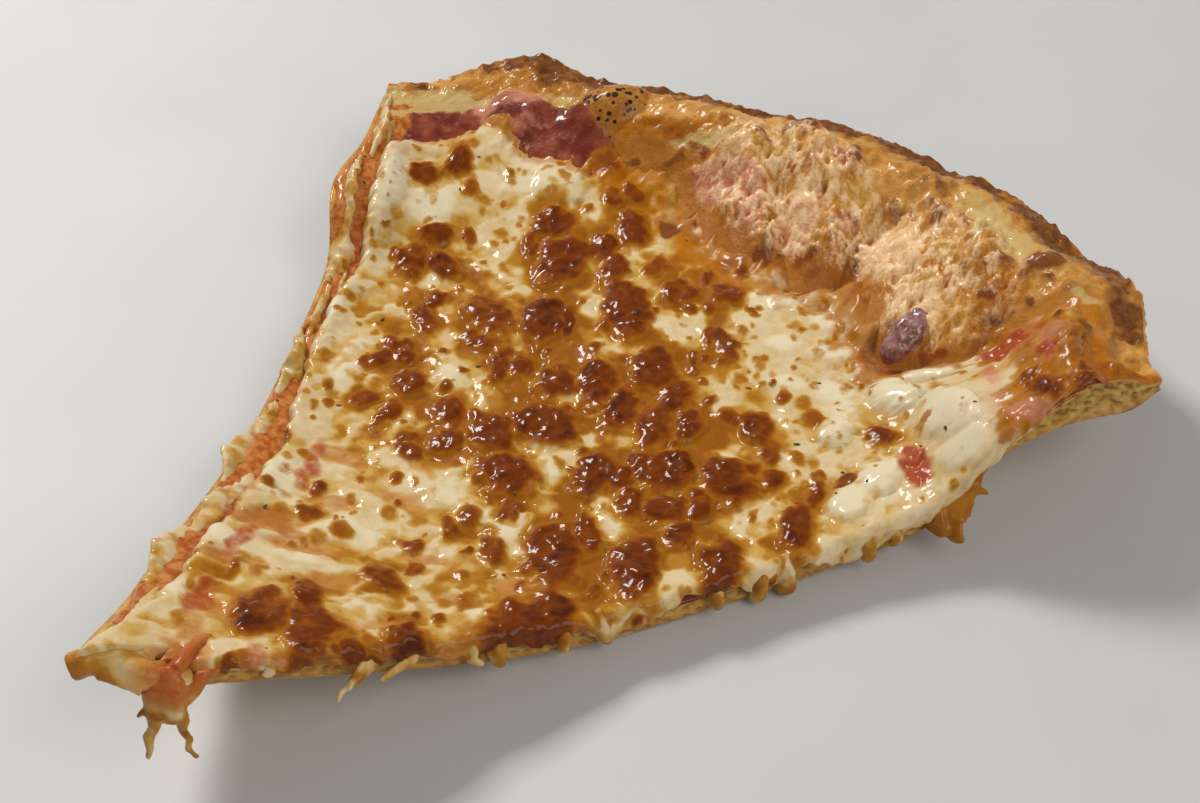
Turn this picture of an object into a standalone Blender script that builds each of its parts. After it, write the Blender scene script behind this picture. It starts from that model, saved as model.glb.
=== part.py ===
"""A large slice of cheese pizza, one sixth of an 18 inch round, in three baked layers.

The slice has sagged: its belly lies flat and the point and both crust corners turn up.
Frame: +Y from the point to the crust along the middle, +X towards the right-hand cut,
+Z up, origin at the bottom centre of the slice's box. Metres throughout.
"""

from math import radians

import bmesh
import bpy
import numpy as np

MM = 0.001

# Plan of the slice, in a slice frame whose origin is where the two cuts would meet.
PIZZA_R = 228.6 * MM          # 18 inch pizza
HALF_LEFT = 29.6              # degrees from the middle line to the left cut
HALF_RIGHT = 29.2             # degrees to the right cut
TIP_LEFT = 4.0 * MM           # the torn point: how far each cut is from the meeting point
TIP_RIGHT = 20.0 * MM
ORIGIN_X = 2.07 * MM          # bottom centre of the box, in the slice frame
ORIGIN_Y = 117.79 * MM

# The sag
BELLY_X, BELLY_Y = 10.0 * MM, 133.0 * MM   # centre of the flat belly
BELLY_R = 42.0 * MM
BELLY_BLEND = 40.0 * MM
BELLY_SLOPE = 0.335
TIP_LIFT = 6.5 * MM
CORNER_LIFT = 4.0 * MM
LEFT_LIFT = -2.0 * MM
# Folds that lift the cut edges: distance from the meeting point, reach inwards, outwards and sideways, height
RIGHT_FOLD = (181.0, 12.0, 23.0, 24.0, 11.0)
LEFT_FOLD = (157.0, 9.0, 26.0, 16.0, 6.5)
FINGER_LIFT = 3.0 * MM        # the left end of the torn point

# Layers
GAP = 0.32 * MM               # clearance that touching layers keep
DOUGH = 4.8 * MM
SAUCE = 1.0 * MM
SAUCE_EDGE = 0.28 * MM
CHEESE = 2.3 * MM
CHEESE_EDGE = 0.9 * MM
LEDGE = 6.0 * MM              # bare sauce beside the left cut
CUT_INSET = 3.0 * MM

# Crust
RIM_AT = 0.93                 # crest of the crust, as a share of the outer radius
RIM_HEIGHT = 11.0 * MM
RIM_WIDTH = 0.052

# Baked bubbles: x, y, half length, half width, height (mm) and the turn of the length (degrees)
BUBBLES = [
    (4.0, 200.0, 24.0, 18.0, 8.6, -2.0),
    (48.0, 193.0, 19.5, 19.0, 8.2, -14.0),
    (-41.0, 201.0, 8.5, 8.0, 3.6, 12.0),
    (-68.0, 188.5, 9.0, 8.0, 3.2, 20.0),
    (86.0, 180.0, 15.0, 10.0, 2.0, -26.0),
    (27.0, 216.0, 9.0, 6.0, 2.2, -8.0),
    (-18.0, 211.0, 8.0, 5.5, 1.8, 5.0),
    (66.0, 205.0, 10.0, 6.0, 1.8, -18.0),
]

# Grid shared by the three layers, so that the gaps between them hold everywhere
ROWS_CHEESE, ROWS_SAUCE, ROWS_RIM = 25, 4, 4
COLS_MIDDLE = 21

# The piece of cheese hanging off the point
DRIP_COLS = (12, 21)          # the columns of the point that it hangs from


LEFT, RIGHT = radians(-HALF_LEFT), radians(HALF_RIGHT)


def smooth(a, b, x):
    t = np.clip((x - a) / (b - a), 0, 1)
    return t * t * (3 - 2 * t)


def bump(x, centre, width):
    return np.exp(-(((x - centre) / width) ** 2))


def outer_radius(phi):
    """Radius of the outer edge by direction: a little uneven, short at the left corner."""
    p = np.degrees(phi)
    k = 0.992 + 0.006 * np.sin(np.radians(p * 17 + 10)) + 0.004 * np.sin(np.radians(p * 31 + 70))
    k = k + 0.030 * bump(p, 11, 9) + 0.012 * bump(p, -3, 6)
    k = k - 0.088 * (1 - smooth(-28, -19.5, p)) - 0.02 * (1 - smooth(-31, -27, p))
    k = k - 0.062 * smooth(20, 28, p) - 0.036 * bump(p, -15.5, 6.5)
    return PIZZA_R * k


LEFT_R, RIGHT_R = float(outer_radius(LEFT)), float(outer_radius(RIGHT))


def plan(s, t):
    """Slice-frame x, y: s runs 0..1 from the left cut to the right one, t 0..1 from the point to the outer edge."""
    rl = TIP_LEFT + (LEFT_R - TIP_LEFT) * t
    rr = TIP_RIGHT + (RIGHT_R - TIP_RIGHT) * t
    ax, ay = rl * np.sin(LEFT), rl * np.cos(LEFT)
    bx, by = rr * np.sin(RIGHT), rr * np.cos(RIGHT)
    x, y = ax + (bx - ax) * s, ay + (by - ay) * s
    cx = LEFT_R * np.sin(LEFT) * (1 - s) + RIGHT_R * np.sin(RIGHT) * s
    cy = LEFT_R * np.cos(LEFT) * (1 - s) + RIGHT_R * np.cos(RIGHT) * s
    grow = 1 + (outer_radius(np.arctan2(cx, cy)) / np.hypot(cx, cy) - 1) * t**2
    bay = (1 - t) ** 6 * 7 * MM * bump(s, 0.46, 0.17)
    swell = 3.0 * MM * bump(t, 0.80, 0.06) * (1 - s) ** 12
    return x * grow + bay * 0.3 + swell * np.sin(LEFT - 1.57), y * grow + bay + swell * np.cos(LEFT - 1.57)


def row_width(t):
    xa, ya = plan(0.0, t)
    xb, yb = plan(1.0, t)
    return float(np.hypot(xb - xa, yb - ya))


def polar(x, y):
    phi = np.arctan2(x, y)
    return np.hypot(x, y) / outer_radius(phi), np.degrees(phi)


def dish(x, y):
    """Height of the sagging underside."""
    d = np.hypot(x - BELLY_X, y - BELLY_Y) - BELLY_R
    z = np.where(
        d < 0,
        0,
        np.where(d < BELLY_BLEND, BELLY_SLOPE * d * d / (2 * BELLY_BLEND), BELLY_SLOPE * (d - BELLY_BLEND / 2)),
    )
    z = z + TIP_LIFT * smooth(88 * MM, 8 * MM, y)
    z = z + CORNER_LIFT * smooth(45 * MM, 112 * MM, x) * smooth(110 * MM, 190 * MM, y)
    z = z + LEFT_LIFT * smooth(-45 * MM, -100 * MM, x)
    z = z + FINGER_LIFT * smooth(24 * MM, 4 * MM, y) * smooth(9 * MM, 0, x)
    for turn, (at, inward, outward, side, high) in ((RIGHT, RIGHT_FOLD), (LEFT, LEFT_FOLD)):
        along = (x * np.sin(turn) + y * np.cos(turn)) / MM - at
        aside = (x * np.cos(turn) - y * np.sin(turn)) / MM
        reach = np.where(along < 0, inward, outward)
        z = z + high * MM * np.exp(-((np.abs(along) / reach) ** 2.4)) * np.exp(-((aside / side) ** 2))
    return z


def bottom(x, y):
    rn, _ = polar(x, y)
    return dish(x, y) + 3.0 * MM * smooth(0.96, 1.0, rn) ** 2


def dough_top(x, y):
    rn, p = polar(x, y)
    crest = (3.0 * MM + (RIM_HEIGHT - 3.0 * MM) * smooth(-23, -5, p)) * (1 - 0.35 * smooth(20, 29, p))
    t = DOUGH + crest * np.exp(-((np.abs(rn - RIM_AT) / RIM_WIDTH) ** 2.2))
    for bx, by, half_l, half_w, high, turn in BUBBLES:
        c, s = np.cos(radians(turn)), np.sin(radians(turn))
        u, v = (x - bx * MM) * c + (y - by * MM) * s, -(x - bx * MM) * s + (y - by * MM) * c
        q = (u / (half_l * MM)) ** 2 + (v / (half_w * MM)) ** 2
        t = t + high * MM * np.clip(1 - q, 0, 1) ** 0.85
    t = (t - 1.0 * MM * smooth(0.96, 1.0, rn)) * (1 - 0.38 * smooth(40 * MM, 5 * MM, y))
    return dish(x, y) + t


def cheese_edge(s):
    """t at which the cheese stops: short of the bubbles, and further out towards the right corner."""
    return (
        0.872
        + 0.005 * np.sin(s * 29)
        + 0.012 * bump(s, 0.04, 0.08)
        - 0.052 * bump(s, 0.52, 0.11)
        - 0.058 * bump(s, 0.72, 0.07)
        + 0.055 * smooth(0.80, 0.90, s)
    )


def sauce_edge(s):
    return cheese_edge(s) + 0.020 + 0.042 * (1 - smooth(0.22, 0.36, s)) + 0.003 * np.sin(s * 31 + 1)


def relief(x, y):
    """Soft lumps of the melted cheese."""
    a = np.sin(x * 310 + 1.3 * np.sin(y * 190)) * np.sin(y * 270 + 1.1 * np.sin(x * 230 + 2))
    b = np.sin((x + y) * 170 + 0.7) * np.sin((x - 0.6 * y) * 210 + 2.1)
    return (0.45 * a + 0.35 * b) * MM


def build_grid():
    """x and y of the shared grid, one row per line from the point outwards."""
    rows = []
    total = ROWS_CHEESE + ROWS_SAUCE + ROWS_RIM
    for i in range(total + 1):
        reference = min(i / ROWS_CHEESE, 1.0) * 0.87
        width = row_width(reference)
        s = np.concatenate(
            [
                [0.0, 0.5 * LEDGE / width],
                np.linspace(LEDGE / width, 1 - CUT_INSET / width, COLS_MIDDLE + 1),
                [1.0],
            ]
        )
        c, u = cheese_edge(s), sauce_edge(s)
        if i <= ROWS_CHEESE:
            t = c * (i / ROWS_CHEESE) ** 0.94
        elif i <= ROWS_CHEESE + ROWS_SAUCE:
            t = c + (u - c) * (i - ROWS_CHEESE) / ROWS_SAUCE
        else:
            t = u + (1 - u) * (i - ROWS_CHEESE - ROWS_SAUCE) / ROWS_RIM
        rows.append(plan(s, t))
    return np.array([r[0] for r in rows]), np.array([r[1] for r in rows])


X, Y = build_grid()
N_ROWS, N_COLS = X.shape
ROW_C, ROW_S = ROWS_CHEESE, ROWS_CHEESE + ROWS_SAUCE

Z_BOTTOM = bottom(X, Y)
Z_DOUGH = dough_top(X, Y)

# Sauce: full depth under the cheese, thin where it runs out and over the bubbles
ROW = np.arange(N_ROWS)[:, None] * np.ones_like(X)
SAUCE_T = SAUCE_EDGE + (SAUCE - SAUCE_EDGE) * (1 - smooth(ROW_C - 3, ROW_S - 1, ROW))
Z_SAUCE_LOW = Z_DOUGH + GAP
Z_SAUCE_TOP = Z_SAUCE_LOW + SAUCE_T

# Cheese: over the sauce, thinner along its free edges
EDGE = smooth(ROW_C - 4, ROW_C, ROW)
CHEESE_T = CHEESE + relief(X, Y)
CHEESE_T = CHEESE_T * (1 - 0.25 * smooth(45 * MM, 5 * MM, Y))
CHEESE_T = CHEESE_T * (1 - EDGE) + CHEESE_EDGE * EDGE
Z_CHEESE_LOW = Z_SAUCE_TOP + GAP
Z_CHEESE_TOP = Z_CHEESE_LOW + CHEESE_T


class Skin:
    """A closed surface put together from triangles, in the slice frame."""

    def __init__(self):
        self.bm = bmesh.new()

    def points(self, x, y, z):
        x, y, z = np.broadcast_arrays(x, y, z)
        out = np.empty(x.shape, object)
        for index in np.ndindex(x.shape):
            out[index] = self.bm.verts.new((x[index] - ORIGIN_X, y[index] - ORIGIN_Y, z[index]))
        return out

    def quad(self, a, b, c, d):
        self.bm.faces.new((a, b, c))
        self.bm.faces.new((a, c, d))

    def sheet(self, p, up=True):
        """Every cell split along the same diagonal, whichever way the sheet faces."""
        for i in range(p.shape[0] - 1):
            for j in range(p.shape[1] - 1):
                a, b, c, d = p[i, j], p[i, j + 1], p[i + 1, j + 1], p[i + 1, j]
                if up:
                    self.quad(a, b, c, d)
                else:
                    self.bm.faces.new((a, c, b))
                    self.bm.faces.new((a, d, c))

    def wall(self, low, high):
        """Between two lines of points; seen from outside, the lines run left to right."""
        for i in range(len(low) - 1):
            self.quad(low[i], low[i + 1], high[i + 1], high[i])

    def finish(self, name, colour, roughness, coat):
        mesh = bpy.data.meshes.new(name)
        bmesh.ops.recalc_face_normals(self.bm, faces=self.bm.faces)
        self.bm.to_mesh(mesh)
        self.bm.free()
        mesh.shade_smooth()
        mesh.set_sharp_from_angle(angle=radians(50))
        obj = bpy.data.objects.new(name, mesh)
        bpy.context.scene.collection.objects.link(obj)
        mat = bpy.data.materials.new(name)
        mat.use_nodes = True
        shader = mat.node_tree.nodes["Principled BSDF"]
        shader.inputs["Base Color"].default_value = (*colour, 1)
        shader.inputs["Roughness"].default_value = roughness
        shader.inputs["Metallic"].default_value = 0.0
        shader.inputs["Coat Weight"].default_value = coat
        mesh.materials.append(mat)
        return obj


def slab(name, z_low, z_top, last_row, colour, roughness, coat):
    """A layer over the rows 0..last_row, with upright sides."""
    skin = Skin()
    x, y = X[: last_row + 1], Y[: last_row + 1]
    low = skin.points(x, y, z_low[: last_row + 1])
    top = skin.points(x, y, z_top[: last_row + 1])
    skin.sheet(top)
    skin.sheet(low, up=False)
    skin.wall(low[0], top[0])
    skin.wall(low[:, -1], top[:, -1])
    skin.wall(low[-1, ::-1], top[-1, ::-1])
    skin.wall(low[::-1, 0], top[::-1, 0])
    return skin.finish(name, colour, roughness, coat)


def drip_length(y):
    """How far the cheese runs down over the right-hand cut."""
    long = 0.5 + 0.5 * np.sin(y * 330 + 1.7 * np.sin(y * 140))
    return (2.6 + 2.6 * long + 1.6 * bump(y, 60 * MM, 12 * MM)) * MM * (0.75 + 0.25 * smooth(5 * MM, 40 * MM, y))


def cheese_layer():
    """The cheese: from the ledge beside the left cut, over the right-hand cut, with a piece hanging off the point."""
    skin = Skin()
    first = 2
    x, y = X[: ROW_C + 1, first:], Y[: ROW_C + 1, first:]
    low_z, top_z = Z_CHEESE_LOW[: ROW_C + 1, first:], Z_CHEESE_TOP[: ROW_C + 1, first:]

    # Three more columns beyond the right-hand cut carry the cheese over its edge and down.
    nx, ny = np.cos(RIGHT), -np.sin(RIGHT)
    ex, ey = x[:, -1], y[:, -1]
    length = drip_length(ey)
    out_top = [(1.5 * MM, 0.5 * MM + 0 * length), (2.4 * MM, 0.32 * length + 0.7 * MM), (2.5 * MM, length + 0.9 * MM)]
    out_low = [(0.45 * MM, 0 * length), (0.55 * MM, 0.3 * length), (0.75 * MM, length - 1.2 * MM)]

    def beyond(z, rim):
        xs, ys, zs = [x], [y], [z]
        for e, drop in rim:
            xs.append((ex + nx * e)[:, None])
            ys.append((ey + ny * e)[:, None])
            zs.append((z[:, -1] - drop)[:, None])
        return np.hstack(xs), np.hstack(ys), np.hstack(zs)

    top = skin.points(*beyond(top_z, out_top))
    low = skin.points(*beyond(low_z, out_low))
    skin.sheet(top)
    skin.sheet(low, up=False)
    skin.wall(low[:, -1], top[:, -1])
    skin.wall(low[-1, ::-1], top[-1, ::-1])
    skin.wall(low[::-1, 0], top[::-1, 0])

    # The front edge at the point is a wall, but for the columns that the hanging piece grows from.
    a, b = DRIP_COLS
    skin.wall(low[0, : a + 1], top[0, : a + 1])
    skin.wall(low[0, b:], top[0, b:])

    def ring_points(ring, centre, width, depth, z):
        """The ring's outline squeezed to the given width and depth round a new centre."""
        n = len(ring) // 2
        out = []
        for k in range(2 * n):
            upper = k < n
            f = (k if upper else 2 * n - 1 - k) / (n - 1) - 0.5
            along, across = f * width, (0.5 if upper else -0.5) * depth * (1 - 1.2 * abs(f) ** 2)
            out.append((centre[0] + along * 0.56 + across * 0.83, centre[1] + along * 0.83 - across * 0.56, z))
        verts = [skin.bm.verts.new((px - ORIGIN_X, py - ORIGIN_Y, pz)) for px, py, pz in out]
        return verts

    def tube(ring, stages):
        for centre, width, depth, z in stages:
            new = ring_points(ring, centre, width, depth, z)
            for k in range(len(ring)):
                n = (k + 1) % len(ring)
                skin.quad(ring[k], ring[n], new[n], new[k])
            ring = new
        return ring

    def cap(ring):
        n = len(ring) // 2
        for k in range(n - 1):
            skin.quad(ring[k], ring[k + 1], ring[2 * n - 2 - k], ring[2 * n - 1 - k])

    mid = (a + b) // 2
    mx = float(x[0, mid])
    my = float(y[0, mid])
    mz = float(top_z[0, mid])
    start = list(top[0, a : b + 1]) + list(low[0, a : b + 1][::-1])
    body = tube(
        start,
        [
            ((mx + 1.7 * MM, my - 2.2 * MM), 8.4 * MM, 2.4 * MM, mz - 1.8 * MM),
            ((mx + 2.2 * MM, my - 3.7 * MM), 7.6 * MM, 2.2 * MM, mz - 5.8 * MM),
        ],
    )
    n = len(body) // 2
    k = n // 2
    left_ring = body[: k + 1] + body[2 * n - 1 - k :]
    right_ring = body[k : 2 * n - k]
    cx, cy = mx + 2.2 * MM, my - 3.7 * MM
    cap(
        tube(
            left_ring,
            [
                ((cx - 1.5 * MM, cy - 2.0 * MM), 2.9 * MM, 1.9 * MM, mz - 10.0 * MM),
                ((cx - 1.8 * MM, cy - 2.4 * MM), 2.2 * MM, 1.6 * MM, mz - 14.0 * MM),
                ((cx - 2.1 * MM, cy - 2.8 * MM), 1.7 * MM, 1.3 * MM, mz - 17.6 * MM),
            ],
        )
    )
    cap(
        tube(
            right_ring,
            [
                ((cx + 1.3 * MM, cy + 1.8 * MM), 2.4 * MM, 1.7 * MM, mz - 10.4 * MM),
                ((cx + 1.1 * MM, cy + 1.6 * MM), 1.8 * MM, 1.4 * MM, mz - 15.2 * MM),
                ((cx + 0.7 * MM, cy + 1.2 * MM), 1.4 * MM, 1.1 * MM, mz - 20.0 * MM),
            ],
        )
    )
    return skin.finish("cheese", (0.78, 0.55, 0.22), 0.32, 0.35)


def main():
    for obj in list(bpy.data.objects):
        bpy.data.objects.remove(obj, do_unlink=True)
    slab("dough", Z_BOTTOM, Z_DOUGH, N_ROWS - 1, (0.60, 0.33, 0.12), 0.62, 0.0)
    slab("tomato_sauce", Z_SAUCE_LOW, Z_SAUCE_TOP, ROW_S, (0.46, 0.09, 0.04), 0.3, 0.3)
    cheese_layer()


main()
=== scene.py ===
from math import radians

import bpy
import numpy as np
from mathutils import Matrix, Vector


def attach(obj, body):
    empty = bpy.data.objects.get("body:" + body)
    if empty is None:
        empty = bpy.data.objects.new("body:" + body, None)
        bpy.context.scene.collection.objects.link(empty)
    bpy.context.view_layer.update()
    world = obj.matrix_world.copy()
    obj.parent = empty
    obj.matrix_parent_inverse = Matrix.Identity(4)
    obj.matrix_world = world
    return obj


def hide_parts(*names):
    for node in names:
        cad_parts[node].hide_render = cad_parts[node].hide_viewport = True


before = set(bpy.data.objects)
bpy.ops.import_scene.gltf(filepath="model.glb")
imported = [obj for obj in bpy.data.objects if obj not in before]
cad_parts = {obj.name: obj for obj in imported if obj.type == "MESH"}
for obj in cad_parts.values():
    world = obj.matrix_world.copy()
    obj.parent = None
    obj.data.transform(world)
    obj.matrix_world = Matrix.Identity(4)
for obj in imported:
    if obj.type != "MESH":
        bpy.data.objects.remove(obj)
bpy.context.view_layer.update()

MM = 0.001

# ------------------------------------------------------------------ the shape that the frame was built from (mm in the slice frame)
ORIGIN = (2.07, 117.79)      # the frame's origin, in the slice frame whose own origin is where the two cuts would meet
PIZZA_R = 228.6
LEFT, RIGHT = radians(-29.6), radians(29.2)
TIP_LEFT, TIP_RIGHT = 4.0, 20.0
BUBBLES = [
    (4.0, 200.0, 24.0, 18.0, 8.6, -2.0),
    (45.0, 193.0, 20.5, 18.0, 8.4, -14.0),
    (-49.6, 201.2, 11.0, 7.6, 4.6, 67.0),
    (-68.0, 188.5, 9.0, 8.0, 3.2, 20.0),
    (86.0, 180.0, 15.0, 10.0, 2.0, -26.0),
    (27.0, 216.0, 9.0, 6.0, 2.2, -8.0),
    (-18.0, 211.0, 8.0, 5.5, 1.8, 5.0),
    (66.0, 205.0, 10.0, 6.0, 1.8, -18.0),
]
FOLDS = ((RIGHT, (181.0, 12.0, 23.0, 24.0, 11.0)), (LEFT, (157.0, 9.0, 26.0, 16.0, 6.5)))


def smooth(a, b, x):
    t = np.clip((x - a) / (b - a), 0, 1)
    return t * t * (3 - 2 * t)


def bump(x, centre, width):
    return np.exp(-(((x - centre) / width) ** 2))


def outer_radius(phi):
    p = np.degrees(phi)
    k = 0.992 + 0.006 * np.sin(np.radians(p * 17 + 10)) + 0.004 * np.sin(np.radians(p * 31 + 70))
    k = k + 0.030 * bump(p, 11, 9) + 0.012 * bump(p, -3, 6)
    k = k - 0.088 * (1 - smooth(-28, -19.5, p)) - 0.02 * (1 - smooth(-31, -27, p))
    k = k - 0.062 * smooth(20, 28, p) - 0.036 * bump(p, -15.5, 6.5)
    return PIZZA_R * k


LEFT_R, RIGHT_R = float(outer_radius(LEFT)), float(outer_radius(RIGHT))


def plan(s, t):
    rl = TIP_LEFT + (LEFT_R - TIP_LEFT) * t
    rr = TIP_RIGHT + (RIGHT_R - TIP_RIGHT) * t
    ax, ay = rl * np.sin(LEFT), rl * np.cos(LEFT)
    bx, by = rr * np.sin(RIGHT), rr * np.cos(RIGHT)
    x, y = ax + (bx - ax) * s, ay + (by - ay) * s
    cx = LEFT_R * np.sin(LEFT) * (1 - s) + RIGHT_R * np.sin(RIGHT) * s
    cy = LEFT_R * np.cos(LEFT) * (1 - s) + RIGHT_R * np.cos(RIGHT) * s
    grow = 1 + (outer_radius(np.arctan2(cx, cy)) / np.hypot(cx, cy) - 1) * t**2
    bay = (1 - t) ** 6 * 7 * bump(s, 0.46, 0.17)
    swell = 3.0 * bump(t, 0.80, 0.06) * (1 - s) ** 12
    return x * grow + bay * 0.3 + swell * np.sin(LEFT - 1.57), y * grow + bay + swell * np.cos(LEFT - 1.57)


def row_width(t):
    xa, ya = plan(np.float64(0), t)
    xb, yb = plan(np.float64(1), t)
    return np.hypot(xb - xa, yb - ya)


def polar(x, y):
    phi = np.arctan2(x, y)
    return np.hypot(x, y) / outer_radius(phi), np.degrees(phi)


def dish(x, y):
    d = np.hypot(x - 10.0, y - 133.0) - 42.0
    z = np.where(d < 0, 0, np.where(d < 40, 0.335 * d * d / 80, 0.335 * (d - 20)))
    z = z + 6.5 * smooth(88, 8, y)
    z = z + 4.0 * smooth(45, 112, x) * smooth(110, 190, y)
    z = z - 2.0 * smooth(-45, -100, x)
    z = z + 3.0 * smooth(24, 4, y) * smooth(9, 0, x)
    for turn, (at, inward, outward, side, high) in FOLDS:
        along = x * np.sin(turn) + y * np.cos(turn) - at
        aside = x * np.cos(turn) - y * np.sin(turn)
        reach = np.where(along < 0, inward, outward)
        z = z + high * np.exp(-((np.abs(along) / reach) ** 2.4)) * np.exp(-((aside / side) ** 2))
    return z


def under(x, y):
    rn, _ = polar(x, y)
    return dish(x, y) + 3.0 * smooth(0.96, 1.0, rn) ** 2


def dough_top(x, y):
    rn, p = polar(x, y)
    crest = (1.4 + 9.6 * smooth(-24, -5, p)) * (1 - 0.58 * smooth(21, 29, p))
    t = 4.8 + crest * np.exp(-((np.abs(rn - 0.93) / 0.052) ** 2.2))
    for bx, by, half_l, half_w, high, turn in BUBBLES:
        c, s = np.cos(radians(turn)), np.sin(radians(turn))
        u, v = (x - bx) * c + (y - by) * s, -(x - bx) * s + (y - by) * c
        q = (u / half_l) ** 2 + (v / half_w) ** 2
        t = t + high * np.clip(1 - q, 0, 1) ** 0.85
    t = (t - 1.0 * smooth(0.96, 1.0, rn)) * (1 - 0.38 * smooth(40, 5, y))
    return dish(x, y) + t


def cheese_edge(s):
    return (
        0.872
        + 0.005 * np.sin(s * 29)
        + 0.012 * bump(s, 0.04, 0.08)
        - 0.052 * bump(s, 0.52, 0.11)
        - 0.058 * bump(s, 0.72, 0.07)
        + 0.055 * smooth(0.80, 0.90, s)
    )


def sauce_edge(s):
    return cheese_edge(s) + 0.020 + 0.042 * (1 - smooth(0.22, 0.36, s)) + 0.003 * np.sin(s * 31 + 1)


# ------------------------------------------------------------------ smooth random fields, the same at every run
def _lattice(ix, iy, iz, seed):
    h = (ix.astype(np.int64) * 374761393 + iy.astype(np.int64) * 668265263 + iz.astype(np.int64) * 1440662683 + seed * 974634777).astype(np.uint64)
    h &= np.uint64(0xFFFFFFFF)
    h = ((h ^ (h >> np.uint64(13))) * np.uint64(1274126177)) & np.uint64(0xFFFFFFFF)
    h = ((h ^ (h >> np.uint64(15))) * np.uint64(2246822519)) & np.uint64(0xFFFFFFFF)
    h ^= h >> np.uint64(16)
    return h.astype(np.float64) / 0xFFFFFFFF


def noise(x, y, z=0.0, seed=0):
    """Value noise from -1 to 1 with features one unit across."""
    x, y, z = np.broadcast_arrays(np.asarray(x, float), np.asarray(y, float), np.asarray(z, float))
    fx, fy, fz = np.floor(x), np.floor(y), np.floor(z)
    tx, ty, tz = x - fx, y - fy, z - fz
    tx, ty, tz = (t * t * t * (t * (t * 6 - 15) + 10) for t in (tx, ty, tz))
    total = 0
    for dx in (0, 1):
        for dy in (0, 1):
            for dz in (0, 1):
                w = (tx if dx else 1 - tx) * (ty if dy else 1 - ty) * (tz if dz else 1 - tz)
                total = total + w * _lattice(fx + dx, fy + dy, fz + dz, seed)
    return total * 2 - 1


def fbm(x, y, z=0.0, octaves=3, seed=0):
    total, amp, norm = 0, 1.0, 0
    for i in range(octaves):
        total = total + amp * noise(x * 2**i, y * 2**i, np.asarray(z) * 2**i, seed + i * 17)
        norm += amp
        amp *= 0.5
    return total / norm


def cells(x, y, seed=0):
    """Distance to the nearest point of a jittered lattice, and to the second nearest."""
    fx, fy = np.floor(x), np.floor(y)
    f1 = np.full(np.shape(x), 9.0)
    f2 = np.full(np.shape(x), 9.0)
    zero = np.zeros_like(fx)
    for dx in (-1, 0, 1):
        for dy in (-1, 0, 1):
            cx, cy = fx + dx, fy + dy
            px = cx + 0.1 + 0.8 * _lattice(cx, cy, zero, seed)
            py = cy + 0.1 + 0.8 * _lattice(cx, cy, zero, seed + 5)
            d = np.hypot(px - x, py - y)
            f2 = np.minimum(f2, np.maximum(f1, d))
            f1 = np.minimum(f1, d)
    return f1, f2


# ------------------------------------------------------------------ meshes
class Skin:
    """A surface made of lines of points, each stitched to the next whatever their counts."""

    def __init__(self):
        self.points, self.faces, self.marks, self.count = [], [], {}, 0

    def line(self, x, y, z, **marks):
        x, y, z = np.broadcast_arrays(x, y, z)
        n = x.size
        self.points.append(np.stack([x - ORIGIN[0], y - ORIGIN[1], z], -1))
        for name in set(self.marks) | set(marks):
            known = self.marks.setdefault(name, [])
            while len(known) < len(self.points) - 1:
                known.append(np.zeros(len(self.points[len(known)])))
            known.append(np.broadcast_to(np.asarray(marks.get(name, 0.0), float), (n,)))
        self.count += n
        return np.arange(self.count - n, self.count)

    def stitch(self, a, b, pa, pb, flip=False):
        ma, mb = (pa[1:] + pa[:-1]) / 2, (pb[1:] + pb[:-1]) / 2
        k = np.searchsorted(mb, ma, side="left")
        j = np.searchsorted(ma, mb, side="right")
        one = np.stack([a[:-1], a[1:], b[k]], -1)
        two = np.stack([a[j], b[1:], b[:-1]], -1)
        tri = np.concatenate([one, two])
        self.faces.append(tri[:, ::-1] if flip else tri)

    def build(self, name, material, node=None):
        points = np.concatenate(self.points) * MM
        faces = np.concatenate(self.faces)
        whole = (faces[:, 0] != faces[:, 1]) & (faces[:, 1] != faces[:, 2]) & (faces[:, 0] != faces[:, 2])
        faces = faces[whole]
        mesh = bpy.data.meshes.new(name)
        mesh.vertices.add(len(points))
        mesh.vertices.foreach_set("co", points.astype(np.float32).ravel())
        mesh.loops.add(len(faces) * 3)
        mesh.loops.foreach_set("vertex_index", faces.astype(np.int32).ravel())
        mesh.polygons.add(len(faces))
        mesh.polygons.foreach_set("loop_start", np.arange(len(faces), dtype=np.int32) * 3)
        mesh.update(calc_edges=True)
        for mark, values in self.marks.items():
            while len(values) < len(self.points):
                values.append(np.zeros(len(self.points[len(values)])))
            field = mesh.attributes.new(mark, "FLOAT", "POINT")
            field.data.foreach_set("value", np.concatenate(values).astype(np.float32))
        mesh.shade_smooth()
        return place(name, mesh, material, node)


def place(name, mesh, material, node=None):
    obj = bpy.data.objects.new(name, mesh)
    bpy.context.scene.collection.objects.link(obj)
    mesh.materials.clear()
    mesh.materials.append(material)
    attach(obj, "root")
    if node:
        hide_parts(node)
    return obj


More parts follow.
